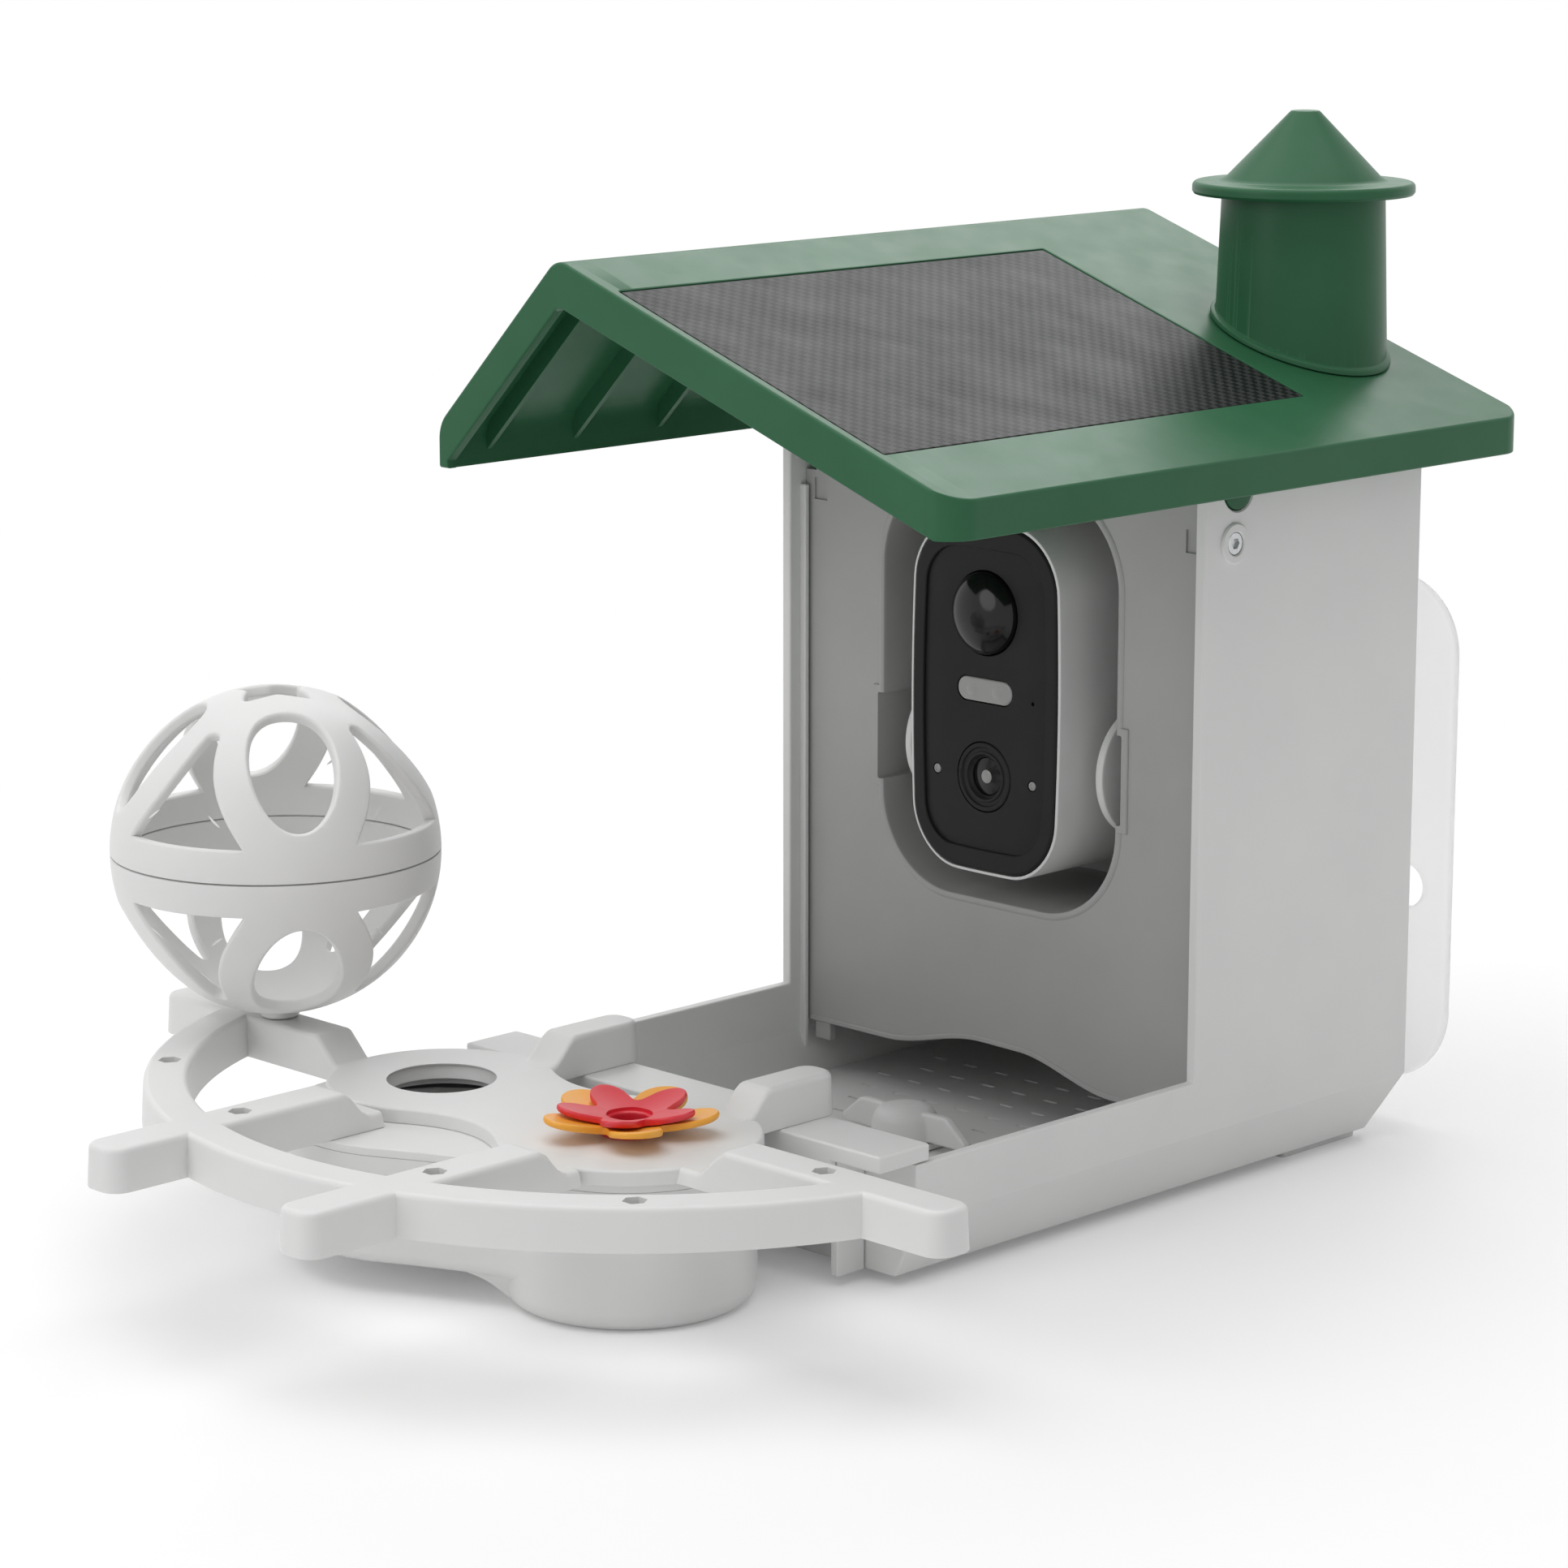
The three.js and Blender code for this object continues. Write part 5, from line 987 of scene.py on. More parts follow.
def relaxed(points, reach=5):
    """Rounds an outline off towards its two ends, where it meets its own mirror image in the next petal."""
    def across(point):
        line = seam_way(point)
        return line * (2 * point.dot(line)) - point

    count = len(points)
    rounder = list(points)
    for i in list(range(reach)) + list(range(count - reach, count)):
        before = points[i - 1] if i else across(points[1])
        after = points[i + 1] if i < count - 1 else across(points[-2])
        rounder[i] = points[i] * 0.5 + (before + after) * 0.25
    return rounder


def petal_sector(reach, half, base, tilt, thickness, spread, bore):
    """One petal with its share of the middle, broad towards its tip, dished and turned up."""
    centre, web = reach / 2, 0.35
    widest = 2 * math.atan(math.tan(math.pi / PETALS) * centre / (half * (1 - 0.2 * spread)))

    def edge(inset):
        points = []
        for i in range(25):
            angle = -widest + 2 * widest * i / 24
            out = Vector((math.cos(angle) / centre, math.sin(angle) / half)).normalized()
            share = min(1.0, 1.2 * (1 - abs(angle) / widest))
            breadth = half * math.sin(angle) * (1 + spread * math.cos(angle))
            points.append(Vector((centre + centre * math.cos(angle), breadth)) - out * inset * share)
        for i in (0, -1):
            points[i] = seam_way(points[i]) * (points[i].length + web)
        for _ in range(5):
            points = relaxed(points)
        return points

    def lift(point):
        out = point.length / reach
        across = min(1.0, abs(math.atan2(point.y, point.x)) / (math.pi / PETALS))
        return math.tan(tilt) * reach * (0.4 * out + 0.6 * out * out) + 0.9 * (across * out) ** 2

    rings = []
    for share in (0.0, 0.2, 0.4, 0.6, 0.78, 0.9, 1.0):
        rings.append([p.normalized() * (bore + (p.length - bore) * share) for p in edge(0.75)])
    loops = [[(p.x, p.y, base + thickness + lift(p)) for p in ring] for ring in rings]
    round_edge = (0.36, 0.1), (0.1, 0.36), (0.0, 0.75)
    round_foot = (0.0, thickness - 0.6), (0.18, thickness - 0.18), (0.5, thickness)
    for inset, drop in round_edge + round_foot:
        loops.append([(p.x, p.y, base + thickness - drop + lift(p)) for p in edge(inset)])
    loops += [[(p.x, p.y, base + lift(p)) for p in ring] for ring in reversed(rings[:-1])]
    count = len(loops[0])
    faces = []
    for layer in range(len(loops)):
        here, after = layer * count, (layer + 1) % len(loops) * count
        for i in range(count - 1):
            faces.append((here + i, here + i + 1, after + i + 1, after + i))
    mesh = bpy.data.meshes.new("petal")
    mesh.from_pydata([point for loop in loops for point in loop], [], faces)
    return placed("petal", mesh)


def petal_star(reach, half, base, tilt, spread, turn):
    thickness, bore = 1.7, 5.65
    sector = petal_sector(reach, half, base, tilt, thickness, spread, bore)
    star = repeat(sector, AROUND, Count=PETALS, Turn=turn, Centre=(FLOWER_X, HUB_Y, 0))
    work = bmesh.new()
    work.from_mesh(star.data)
    bmesh.ops.remove_doubles(work, verts=work.verts, dist=0.01)
    bmesh.ops.recalc_face_normals(work, faces=work.faces)
    if work.calc_volume(signed=True) < 0:
        bmesh.ops.reverse_faces(work, faces=work.faces)
    work.to_mesh(star.data)
    work.free()
    return star


def flower_stem():
    """A tube through the hub, with a flange on it and a mouth between the red petals."""
    low, under, over, top, bore, tube, flange = 4, 38.52, 39.3, 42.42, 4.5, 5.7, 7.3
    return lathe("z", (FLOWER_X, HUB_Y), [
        (bore, low), (5.5, low), (tube, low + 0.2), (tube, under), (7.1, under), (flange, under + 0.18),
        (flange, over - 0.2), (7.1, over), (tube, over), (tube, top - 0.12), (5.5, top), (5.0, top - 0.02),
        (4.65, top - 0.32), (bore, top - 0.92),
    ], 72)


# House

def side_at(height):
    return HOUSE_HALF - SIDE_CHAMFER * max(0.0, 1 - height / CREASE)


def house_section(thickness, base, top):
    low, high = side_at(base) - thickness, HOUSE_HALF - thickness
    return [(-low, base), (low, base), (high, CREASE), (high, top), (-high, top), (-high, CREASE)]


def rear_wedge(back):
    slope = REAR_CHAMFER / CREASE
    foot = back - REAR_CHAMFER - slope * OVER
    outline = [(back, CREASE), (foot, -OVER), (back + OVER, -OVER), (back + OVER, CREASE)]
    return prism("x", outline, -HOUSE_HALF - OVER, HOUSE_HALF + OVER)


def sided(side, profile):
    """A profile of radius and distance from the middle, on the side given by 1 or -1."""
    return [(radius, side * at) for radius, at in profile]


def stud_hole(low, high):
    return prism("z", circle(0, STUD_Y, STUD_RADIUS + FIT, 32), low, high)


def at_plate_screws(piece):
    (left, low), (right, high) = PLATE_SCREWS[0], PLATE_SCREWS[-1]
    return repeat(
        piece, ROWS, Columns=2, Rows=2, First=(left, 0, low), Across=(right - left, 0, 0),
        Down=(0, 0, high - low), Radius=0.0,
    )


def housing():
    over, wall_over = HOUSE_HALF + OVER, WALL_TOP + OVER
    shell = prism("y", house_section(0, 0, WALL_TOP), -TRAY_REACH, HOUSE_DEPTH)
    cut(shell, block(-over, over, -TRAY_REACH - OVER, 0, RAIL_HEIGHT, wall_over), rear_wedge(HOUSE_DEPTH))
    cavity = cut(
        prism("y", house_section(WALL, FLOOR, wall_over), -TRAY_REACH + WALL, HOUSE_DEPTH - WALL),
        rear_wedge(HOUSE_DEPTH - WALL),
    )
    corner = [(-OVER, PIVOT_Z)] + arc(PIVOT_Y, PIVOT_Z, PIVOT_Y, math.pi, math.pi / 2, 20)
    corner += [(PIVOT_Y, WALL_TOP + 9), (-OVER, WALL_TOP + 9)]
    cut(shell, cavity, prism("x", corner, -over, over))

    def width(middle, along, edge):
        on_rim = min(abs(middle.x) - 1, middle.z - 0.2) < 0 and abs(along.y) > 0.9
        return 1.0 if edge.calc_face_angle(0) < math.radians(40) or on_rim else 0.55

    soften(shell, 1.0, width, 5)
    face, root, groove = HOUSE_HALF + 0.8, HOUSE_HALF - 0.5, INSIDE - 4
    boss = [(0, root), (5.45, root), (5.3, face - 0.35), (4.95, face), (0, face)]
    sink = [
        (0, groove), (SCREW_BORE, groove), (SCREW_BORE, SCREW_SEAT), (3.0, SCREW_SEAT), (3.0, face - 0.3),
        (3.35, face + 0.02), (3.5, face + OVER), (0, face + OVER),
    ]
    hub = [
        (0, INSIDE - OVER), (PIVOT_HEAD + FIT, INSIDE - OVER), (PIVOT_HEAD + FIT, HOUSE_HALF - 0.4),
        (PIVOT_HEAD + 0.7, HOUSE_HALF), (PIVOT_HEAD + 0.8, over), (0, over),
    ]
    for side in (-1, 1):
        join(shell, soften(block(*span(side, INSIDE - 2.1, INSIDE + 0.5), 3.8, 5.3, 11, 170), 0.4))
        join(shell, lathe("x", (SCREW_Y, SCREW_Z), sided(side, boss), 64))
        cut(
            shell, lathe("x", (SCREW_Y, SCREW_Z), sided(side, sink), 64),
            lathe("x", (PIVOT_Y, PIVOT_Z), sided(side, hub), 64),
        )
    drains = repeat(
        block(-17, 17, -2.5, 2.5, -OVER, FLOOR + OVER), ROWS, Columns=2, Rows=3, First=(-44, 15, 0),
        Across=(88, 0, 0), Down=(0, -44, 0), Radius=0.0,
    )
    bore = prism("y", circle(0, 0, PLATE_BORE, 24), HOUSE_DEPTH - WALL - OVER, HOUSE_DEPTH + OVER)
    return cut(shell, stud_hole(-OVER, FLOOR + OVER), drains, at_plate_screws(bore))


def floor_liner():
    half = side_at(FLOOR) - WALL - FIT
    rear = HOUSE_DEPTH - WALL - REAR_CHAMFER * (1 - FLOOR / CREASE) - FIT
    front = -TRAY_REACH + WALL + FIT

    def outline(inset):
        return panel_outline(-half + inset, half - inset, front + inset, rear - inset, 1.2, 3)

    liner = moulding(outline, FLOOR, LINER_TOP, 0.3, 0.1, 0, 3)
    slot = prism("z", panel_outline(-2.5, 2.5, -0.65, 0.65, 0.6, 4), FLOOR - OVER, LINER_TOP + OVER)
    slots = repeat(
        slot, ROWS, Columns=10, Rows=8, Stagger=True, First=(-51.75, 39.8, 0), Across=(11.5, 0, 0),
        Down=(0, -11.6, 0), Clear=(0, STUD_Y, 0), Radius=9.2,
    )
    return cut(liner, slots, stud_hole(FLOOR - OVER, LINER_TOP + OVER))


# Hopper panel

PANEL_FRONT, PANEL_BACK = 6.0, 8.6
NOTCH_LOW, NOTCH_HIGH, NOTCH_HALF, NOTCH_WALL = 92.0, 115.6, 43.5, 2.2
BLOCK_LOW, BLOCK_HIGH, BLOCK_WIDTH = 163.5, 174.0, 11.0


def pocket_outline(grow, steps=16):
    return panel_outline(-41.5 - grow, 41.5 + grow, 64.5 - grow, 177.0 + grow, 25 + grow, steps)


def notch_outline(grow, radius):
    return panel_outline(-NOTCH_HALF - grow, NOTCH_HALF + grow, NOTCH_LOW - grow, NOTCH_HIGH + grow, radius, 3)


def hopper_arch(half, steps=14):
    """The panel's lower edge: level at the left, a low hump and a longer fall to the right."""
    bends = [(-half, 19), (-40, 19), (-6, 24.6), (8, 24.4), (42, 17.4), (half, 16.2)]
    edge = [bends[0]]
    for (x0, z0), (x1, z1) in zip(bends, bends[1:]):
        for i in range(1, steps + 1):
            share = i / steps
            edge.append((x0 + (x1 - x0) * share, z0 + (z1 - z0) * eased(share)))
    return edge


def arch_bead(arch):
    """The raised bead along the arch, rounded at its front."""
    foot = [(x, z + 0.02) for x, z in arch[1:-1]]
    head = [(x, z + 1.5) for x, z in reversed(arch[1:-1])]
    front = [(x, z + 0.3) for x, z in foot] + [(x, z - 0.3) for x, z in head]
    return loft("y", [(5.5, front), (5.8, foot + head), (7, foot + head)])


def hopper_panel():
    half, ear_half, under = EAR_FACE, EAR_FACE - EAR - 2 * FIT, 2
    ridge = ridge_x(SHEET, SOLAR_SLAB)
    under_left = min(steep_z(-ear_half, SHEET), shallow_z(-ear_half, SHEET))
    arch = hopper_arch(half)
    panel = prism("y", arch + [
        (half, BLOCK_HIGH), (ear_half, BLOCK_HIGH), (ear_half, shallow_z(ear_half, SOLAR_SLAB) - under),
        (ridge, shallow_z(ridge, SOLAR_SLAB) - under * STEEP_STRETCH), (-ear_half, under_left - under),
        (-ear_half, BLOCK_HIGH), (-half, BLOCK_HIGH),
    ], PANEL_FRONT, PANEL_BACK)
    lip = loft_of("y", pocket_outline, [(5.35, 1.2), (5.5, 1.75), (5.9, 2.15), (7, 2.2)])
    tub = loft_of("y", pocket_outline, [(6.5, 2.2), (48, 2.2), (52, 1.0), (53.2, -2.0)])
    low, high, reach = NOTCH_LOW - NOTCH_WALL, NOTCH_HIGH + NOTCH_WALL, NOTCH_HALF + NOTCH_WALL
    join(panel, lip, arch_bead(arch), tub, block(-reach, reach, 6.5, 46.2, low, high))
    for side in (-1, 1):
        join(panel, soften(block(*span(side, 40, reach), 5.35, 7, low, high), 0.5))
    pocket = loft_of("y", pocket_outline, [
        (4.4, 1.6), (5.3, 1.05), (5.7, 0.3), (6.5, 0), (47.5, 0), (50, -0.9), (51, -3.2),
    ])
    notch = [(4.4, notch_outline(0.8, 0.6)), (5.5, notch_outline(0.1, 0.5)), (44, notch_outline(0, 0.5))]
    trunnions = prism("x", circle(TILT_Y, TILT_Z, TILT_PIN + FIT, 32), -reach - 1, reach + 1)
    cut(panel, pocket, loft("y", notch), trunnions)
    bulge = [(10.5 * (1 - i / 12), 6.02 - 0.6 * (1 - math.cos(math.pi * i / 12))) for i in range(12)]
    join(panel, lathe("y", (56.5, 103.5), [(0, 7)] + bulge + [(0, 4.82)], 64))
    screw_hole = circle(SCREW_Y, SCREW_Z, SCREW_BORE, 24)
    for side in (-1, 1):
        corner = span(side, half - BLOCK_WIDTH, half)
        sight = span(side, half - BLOCK_WIDTH + WALL, half - WALL)
        join(
            panel, soften(block(*span(side, half - 9.3, half - 3.6), 6.02, 8.58, 14, 19.5), 0.4),
            soften(block(*corner, 6.01, 16, BLOCK_LOW, BLOCK_HIGH), 0.4),
        )
        cut(
            panel, block(*sight, 5, 6.7, BLOCK_LOW + 2.5, BLOCK_HIGH - 2),
            prism("x", screw_hole, *span(side, half - BLOCK_WIDTH - 1, half + 1)),
        )
    return panel


# Camera

# How far the parts of the face reach back, and the width of its white rim and of the shell's wall
FACE_BACK, RIM, SHELL_WALL = 3.4, 1.15, 2.0


def barrel_outline(half, low, high, radius, inset, bulge=0.06, steps=12, sides=10):
    """A rounded upright panel whose sides and ends swell a little towards their middles."""
    corners = panel_outline(-half + inset, half - inset, low + inset, high - inset, radius - inset, steps)
    middle, reach = (low + high) / 2, (high - low) / 2
    outline = []
    for i, (x, z) in enumerate(corners):
        outline.append((x, z))
        if i % (steps + 1) == steps:
            after = corners[(i + 1) % len(corners)]
            across, up = after[0] - x, after[1] - z
            outline += [(x + across * j / sides, z + up * j / sides) for j in range(1, sides)]

    def swollen(x, z):
        narrow, flat = bulge * ((z - middle) / reach) ** 2, 0.25 * bulge * (x / half) ** 2
        return x * (1 - narrow), middle + (z - middle) * (1 - flat)

    return [swollen(x, z) for x, z in outline]


def camera_outline(inset):
    return barrel_outline(CAMERA_HALF, CAMERA_LOW, CAMERA_HIGH, CAMERA_RADIUS, inset)


def field_outline(grow):
    return barrel_outline(21.8, 79.3, 160.4, 10, -grow, 0.07)


def light_outline(grow):
    return panel_outline(-9.6 - grow, 9.6 + grow, LIGHT_Z - 3.15 - grow, LIGHT_Z + 3.15 + grow, 3.1 + grow, 12)


def camera_shell():
    ledge, seat = 4.0, 0.85
    rings = [(CAMERA_FRONT, 0.35), (CAMERA_FRONT + 0.12, 0.12), (CAMERA_FRONT + 0.4, 0)]
    rings += [(CAMERA_BACK - depth, inset) for inset, depth in reversed(edge_steps(2, 6))]
    rebate = prism("y", camera_outline(seat), -OVER, ledge + 0.6)
    hollow = prism("y", camera_outline(SHELL_WALL), ledge, CAMERA_BACK + OVER)
    return cut(loft_of("y", camera_outline, rings), rebate, hollow)


def camera_band():
    band = loft_of("y", camera_outline, [(0, 2.0), (0.1, 1.6), (0.45, 1.24), (0.9, RIM), (FACE_BACK, RIM)])
    return cut(band, loft_of("y", field_outline, [(-OVER, 0.5), (0, 0.25), (0.25, 0), (5, 0)]))


def camera_field():
    """The glossy field inside the band, dished towards its edges."""
    front, through = 0.95, (-OVER, 5)
    field = prism("y", field_outline(-0.05), front, FACE_BACK)
    rise = [(2.5, -0.5), (front, -0.5), (0.8, -2.0), (0.7, -4.0), (0.63, -6.0), (0.6, -8.0)]
    join(field, loft_of("y", field_outline, rise))
    holes = [
        prism("y", circle(0, DOME_Z, 11.5, 96), *through), prism("y", circle(0, LENS_Z, 9.6, 96), *through),
        prism("y", light_outline(0.3), *through),
    ]
    holes += [prism("y", circle(side * SENSOR_X, LENS_Z, 1.5, 32), *through) for side in (-1, 1)]
    holes.append(prism("y", circle(SENSOR_X, 121.2, 0.55, 24), -OVER, 2.6))
    return cut(field, *holes)


def sensor_dome():
    foot, base, swell, rim = 2.8, 0.6, 5.4, 11.2
    dome = [(11.1 * math.cos(a), base - swell * math.sin(a)) for a in (math.pi / 2 * i / 20 for i in range(20))]
    return lathe("y", (0, DOME_Z), [(0, foot), (rim, foot), (rim, 0.9)] + dome + [(0, base - swell)], 128)


def light_window():
    window = loft_of("y", light_outline, [(0.45, -0.6), (0.6, -0.2), (0.85, 0), (FACE_BACK, 0)])
    bead = [(0, 2), (2.2, 2), (2.2, 0.5), (1.7, 0.3), (0.9, 0.2), (0, 0.17)]
    return join(window, *[lathe("y", (x, LIGHT_Z), bead, 40) for x in (-4.6, 4.6)])


def lens_bezel():
    return lathe("y", (0, LENS_Z), [
        (5.2, 6), (9.3, 6), (9.3, 0.75), (9.1, 0.5), (8.6, 0.42), (8.1, 0.5), (7.95, 0.75), (7.8, 0.95),
        (6.9, 0.95), (6.75, 0.7), (6.4, 0.6), (6.1, 0.7), (5.9, 1.2), (5.6, 1.5), (5.2, 1.9),
    ], 128)


def lens_glass():
    radius, rim, swell = 4.9, 2.2, 0.6
    face = [(radius * (1 - i / 8), rim - swell * math.sin(math.pi / 2 * i / 8)) for i in range(1, 9)]
    return lathe("y", (0, LENS_Z), [(0, 5.4), (radius, 5.4), (radius, rim)] + face, 96)


def lens_pupil():
    profile = [(0, 1.75), (1.75, 1.75), (1.8, 1.6), (1.5, 1.42), (0.8, 1.32), (0, 1.3)]
    return lathe("y", (0, LENS_Z), profile, 64)


def sensor_pin(side):
    profile = [(0, 4.6), (1.2, 4.6), (1.2, 0.8), (1.05, 0.66), (0.7, 0.6), (0.6, 0.75), (0, 0.8)]
    return lathe("y", (side * SENSOR_X, LENS_Z), profile, 48)


def cradle():
    """A web behind the camera with a round cheek, a pin and a pad on either side."""
    back, half, near, far, tip = CAMERA_BACK + FIT, 11.2, 33.0, 35.6, 45.7
    web = soften(block(-far, far, back, back + far - near, TILT_Z - half, TILT_Z + half), 0.6)
    profiles = (
        ([(0, near), (16.8, near), (17.3, near + 0.2), (17.5, near + 0.7), (17.5, far - 0.9), (17.2, far - 0.3),
          (16.6, far), (0, far)], 128),
        ([(0, 35), (TILT_PIN, 35), (TILT_PIN, tip - 0.3), (TILT_PIN - 0.3, tip), (0, tip)], 48),
        ([(0, 27.05), (5.7, 27.05), (6, 27.4), (6, near + 0.5), (0, near + 0.5)], 64),
    )
    for side in (-1, 1):
        join(web, *[lathe("x", (TILT_Y, TILT_Z), sided(side, profile), steps) for profile, steps in profiles])
    return cut(web, prism("y", circle(0, TILT_Z, 2.8, 32), back - OVER, back + 4))


# Bowl, bracket, knob and fixings

def bowl_form(inset, low, cup_low):
    """The lobe, the deep cup under it and the sloped collar between them, with rounded lower edges."""
    top, cup, steps = LID_LOW, CUP_RADIUS - inset, edge_steps(3.2 - inset / 2, 6)
    rings = [(low + depth, inset + back) for back, depth in steps] + [(top, inset)]
    lobe = loft_of("z", bowl_outline, rings)
    profile = [(0, cup_low)] + [(cup - 1.5 * back, cup_low + 1.5 * depth) for back, depth in steps]
    deep = lathe("z", (FLOWER_X, HUB_Y), profile + [(cup, top), (0, top)], 128)
    sweep, fall = 12, 5.2
    curve = [(cup - 0.2 + sweep * i / 16, low + 0.2 - fall * (1 - i / 16) ** 2) for i in range(17)]
    collar = lathe("z", (FLOWER_X, HUB_Y), [(0, curve[0][1])] + curve + [(0, curve[-1][1])], 128)
    reach = [(low - fall - 1, inset + 4.2), (low - 2, inset + 3.6), (low + 0.4, inset + 2.6)]
    keep(collar, loft_of("z", bowl_outline, reach))
    return join(lobe, deep, collar)


def nectar_bowl():
    wall, low, cup_low = 2.2, 5, -2.5
    bowl = bowl_form(0, low, cup_low)
    mouth = prism("z", bowl_outline(wall), LID_LOW - OVER, LID_LOW + OVER)
    return cut(bowl, bowl_form(wall, low + wall, cup_low + wall), mouth)


def bowl_lid():
    lid = moulding(bowl_outline, LID_LOW, LID_HIGH, 0.3, 0.3)
    port = hole(PORT_X, HUB_Y, 17, LID_LOW, LID_HIGH, 0.3)
    return cut(lid, port, hole(FLOWER_X, HUB_Y, 6, LID_LOW, LID_HIGH, 0.2))


def wheel_bracket():
    """The plate on the rails, with a rib and two fins before the tray and a tongue that the knob clamps."""
    low, front, tongue = RAIL_HEIGHT + FIT, -TRAY_REACH, LINER_TOP + FIT
    top, legs_y, fin = low + 1.5, front + WALL + FIT, 58.1
    plate = soften(block(-HOUSE_HALF, HOUSE_HALF, front - 13, -99.5, low, WHEEL_LOW - 0.01), 0.7)
    join(
        plate, soften(block(-fin, fin, front - 13, front - 10.5, 17, top), 0.5),
        soften(block(-10, 10, legs_y, legs_y + 2.5, tongue, top), 0.4),
        soften(block(-10, 10, legs_y + 0.02, -18, tongue, tongue + TONGUE), 0.4),
        *[soften(block(*span(side, fin - 2.5, fin), front - 10, front - 0.4, 0, top), 0.5) for side in (-1, 1)],
    )
    bores = bracket_bores(low - OVER, WHEEL_LOW + OVER)
    return cut(plate, stud_hole(tongue - OVER, tongue + 3), *bores)


def wing_knob():
    """The body and its wings are run together, so that they blend as in one moulding."""
    base = LINER_TOP + FIT + TONGUE + FIT
    profile = [(0, base), (9.2, base), (9.2, base + 0.6), (8.9, 10.2), (8.5, 12.2), (7.8, 13.6), (6.6, 14.6)]
    knob = lathe("z", (0, STUD_Y), profile + [(4.6, 15.3), (2.4, 15.6), (0, 15.65)], 96)
    wing = [(4, base, 0), (13.2, base, 1.5), (21.6, base + 0.1, 1.2)]
    wing += [(22.6, 8.6, 1.0), (15.4, 14.5, 3.2), (4, 14.3, 0)]
    for side in (-1, 1):
        outline = rounded([(side * x, z, radius) for x, z, radius in wing], 8)
        join(knob, soften(prism("y", outline, STUD_Y - 1.3, STUD_Y + 1.3), 0.5))
    cells = knob.modifiers.new("cells", "REMESH")
    cells.mode = "VOXEL"
    cells.voxel_size = 0.3
    settle(knob)
    relax = knob.modifiers.new("relax", "SMOOTH")
    relax.factor = 0.5
    relax.iterations = 9
    settle(knob)
    low = base - OVER
    return cut(
        knob, stud_hole(low, 12.8), prism("z", circle(0, STUD_Y, 4.9, 32), low, base + 4),
        block(-30, 30, STUD_Y - 15, STUD_Y + 15, 0, base),
    )


def wall_plate():
    def outline(inset):
        return panel_outline(-79 + inset, 79 - inset, 9.5 + inset, 149.5 - inset, 21 - inset, 16)

    front, back = PLATE_FRONT - OVER, PLATE_BACK + OVER
    edge = (0, 0.7), (0.2, 0.2), (0.7, 0)
    rings = [(PLATE_FRONT + depth, inset) for depth, inset in edge]
    plate = loft_of("y", outline, rings + [(PLATE_BACK - depth, inset) for depth, inset in reversed(edge)])
    holes = [prism("y", circle(side * 64.5, 64, 6, 64), front, back) for side in (-1, 1)]
    sink = PLATE_BACK - PLATE_SINK
    bores = lathe("y", (0, 0), [
        (0, front), (PLATE_BORE, front), (PLATE_BORE, sink), (3.9, sink), (3.9, PLATE_BACK - 0.2),
        (4.1, PLATE_BACK + 0.01), (4.2, back), (0, back),
    ], 40)
    return cut(plate, at_plate_screws(bores), *holes)


def screw(axis, centre, tip, seat, head, shaft_radius, head_radius, socket):
    """A plain shaft under a round head with a six-sided socket, between places along the axis."""
    way = 1 if head > seat else -1
    body = lathe(axis, centre, [
        (0, tip), (shaft_radius * 0.6, tip), (shaft_radius, tip + way * 0.8), (shaft_radius, seat),
        (head_radius, seat), (head_radius, head - way * 0.35), (head_radius - 0.12, head - way * 0.1),
        (head_radius - 0.4, head), (0, head),
    ], 48)
    return cut(body, prism(axis, circle(*centre, socket, 6), *sorted((head - way * 0.8, head + way))))


def roof_pivot(side):
    tip, face = EAR_FACE - EAR, HOUSE_HALF
    return lathe("x", (PIVOT_Y, PIVOT_Z), sided(side, [
        (0, tip), (PIVOT_SHAFT, tip), (PIVOT_SHAFT, INSIDE), (PIVOT_HEAD, INSIDE), (PIVOT_HEAD, face - 0.5),
        (5.45, face - 0.12), (5.0, face), (2.2, face), (1.8, face - 0.5), (0, face - 0.5),
    ]), 64)


def foot(side, edge, y):
    near, far = span(side, edge - FOOT_WIDTH, edge)

    def outline(inset):
        return panel_outline(near + inset, far - inset, y + inset, y + FOOT_LENGTH - inset, 1.5 - inset / 2, 4)

    return moulding(outline, -FOOT_HEIGHT, -0.005, 0.2, 0.5)


def hanger_frame():
    """The open frame that stands the wall plate off the house, with a boss for each screw."""
    front, rear, half = HOUSE_DEPTH + 0.01, PLATE_FRONT - 0.01, HANGER_HALF - HANGER_WALL
    frame_block = soften(block(-HANGER_HALF, HANGER_HALF, front, rear, HANGER_LOW, HANGER_HIGH), 0.8)
    room = block(-half, half, front + 4, rear + 2, HANGER_LOW + HANGER_WALL, HANGER_HIGH - HANGER_WALL)
    cut(frame_block, soften(room, 0.8))
    for x, z in PLATE_SCREWS:
        join(frame_block, prism("y", circle(x, z, HANGER_BOSS - 0.1, 48), front + 0.01, rear - 0.01))
    bores = [prism("y", circle(x, z, PLATE_BORE, 24), front - OVER, rear + OVER) for x, z in PLATE_SCREWS]
    return cut(frame_block, *bores)


# The pieces in their places

def finish_on(body, *entries):
    for piece, name, slot, replaced, *angle in entries:
        finish_piece(piece, name, body, slot, replaced, *angle)


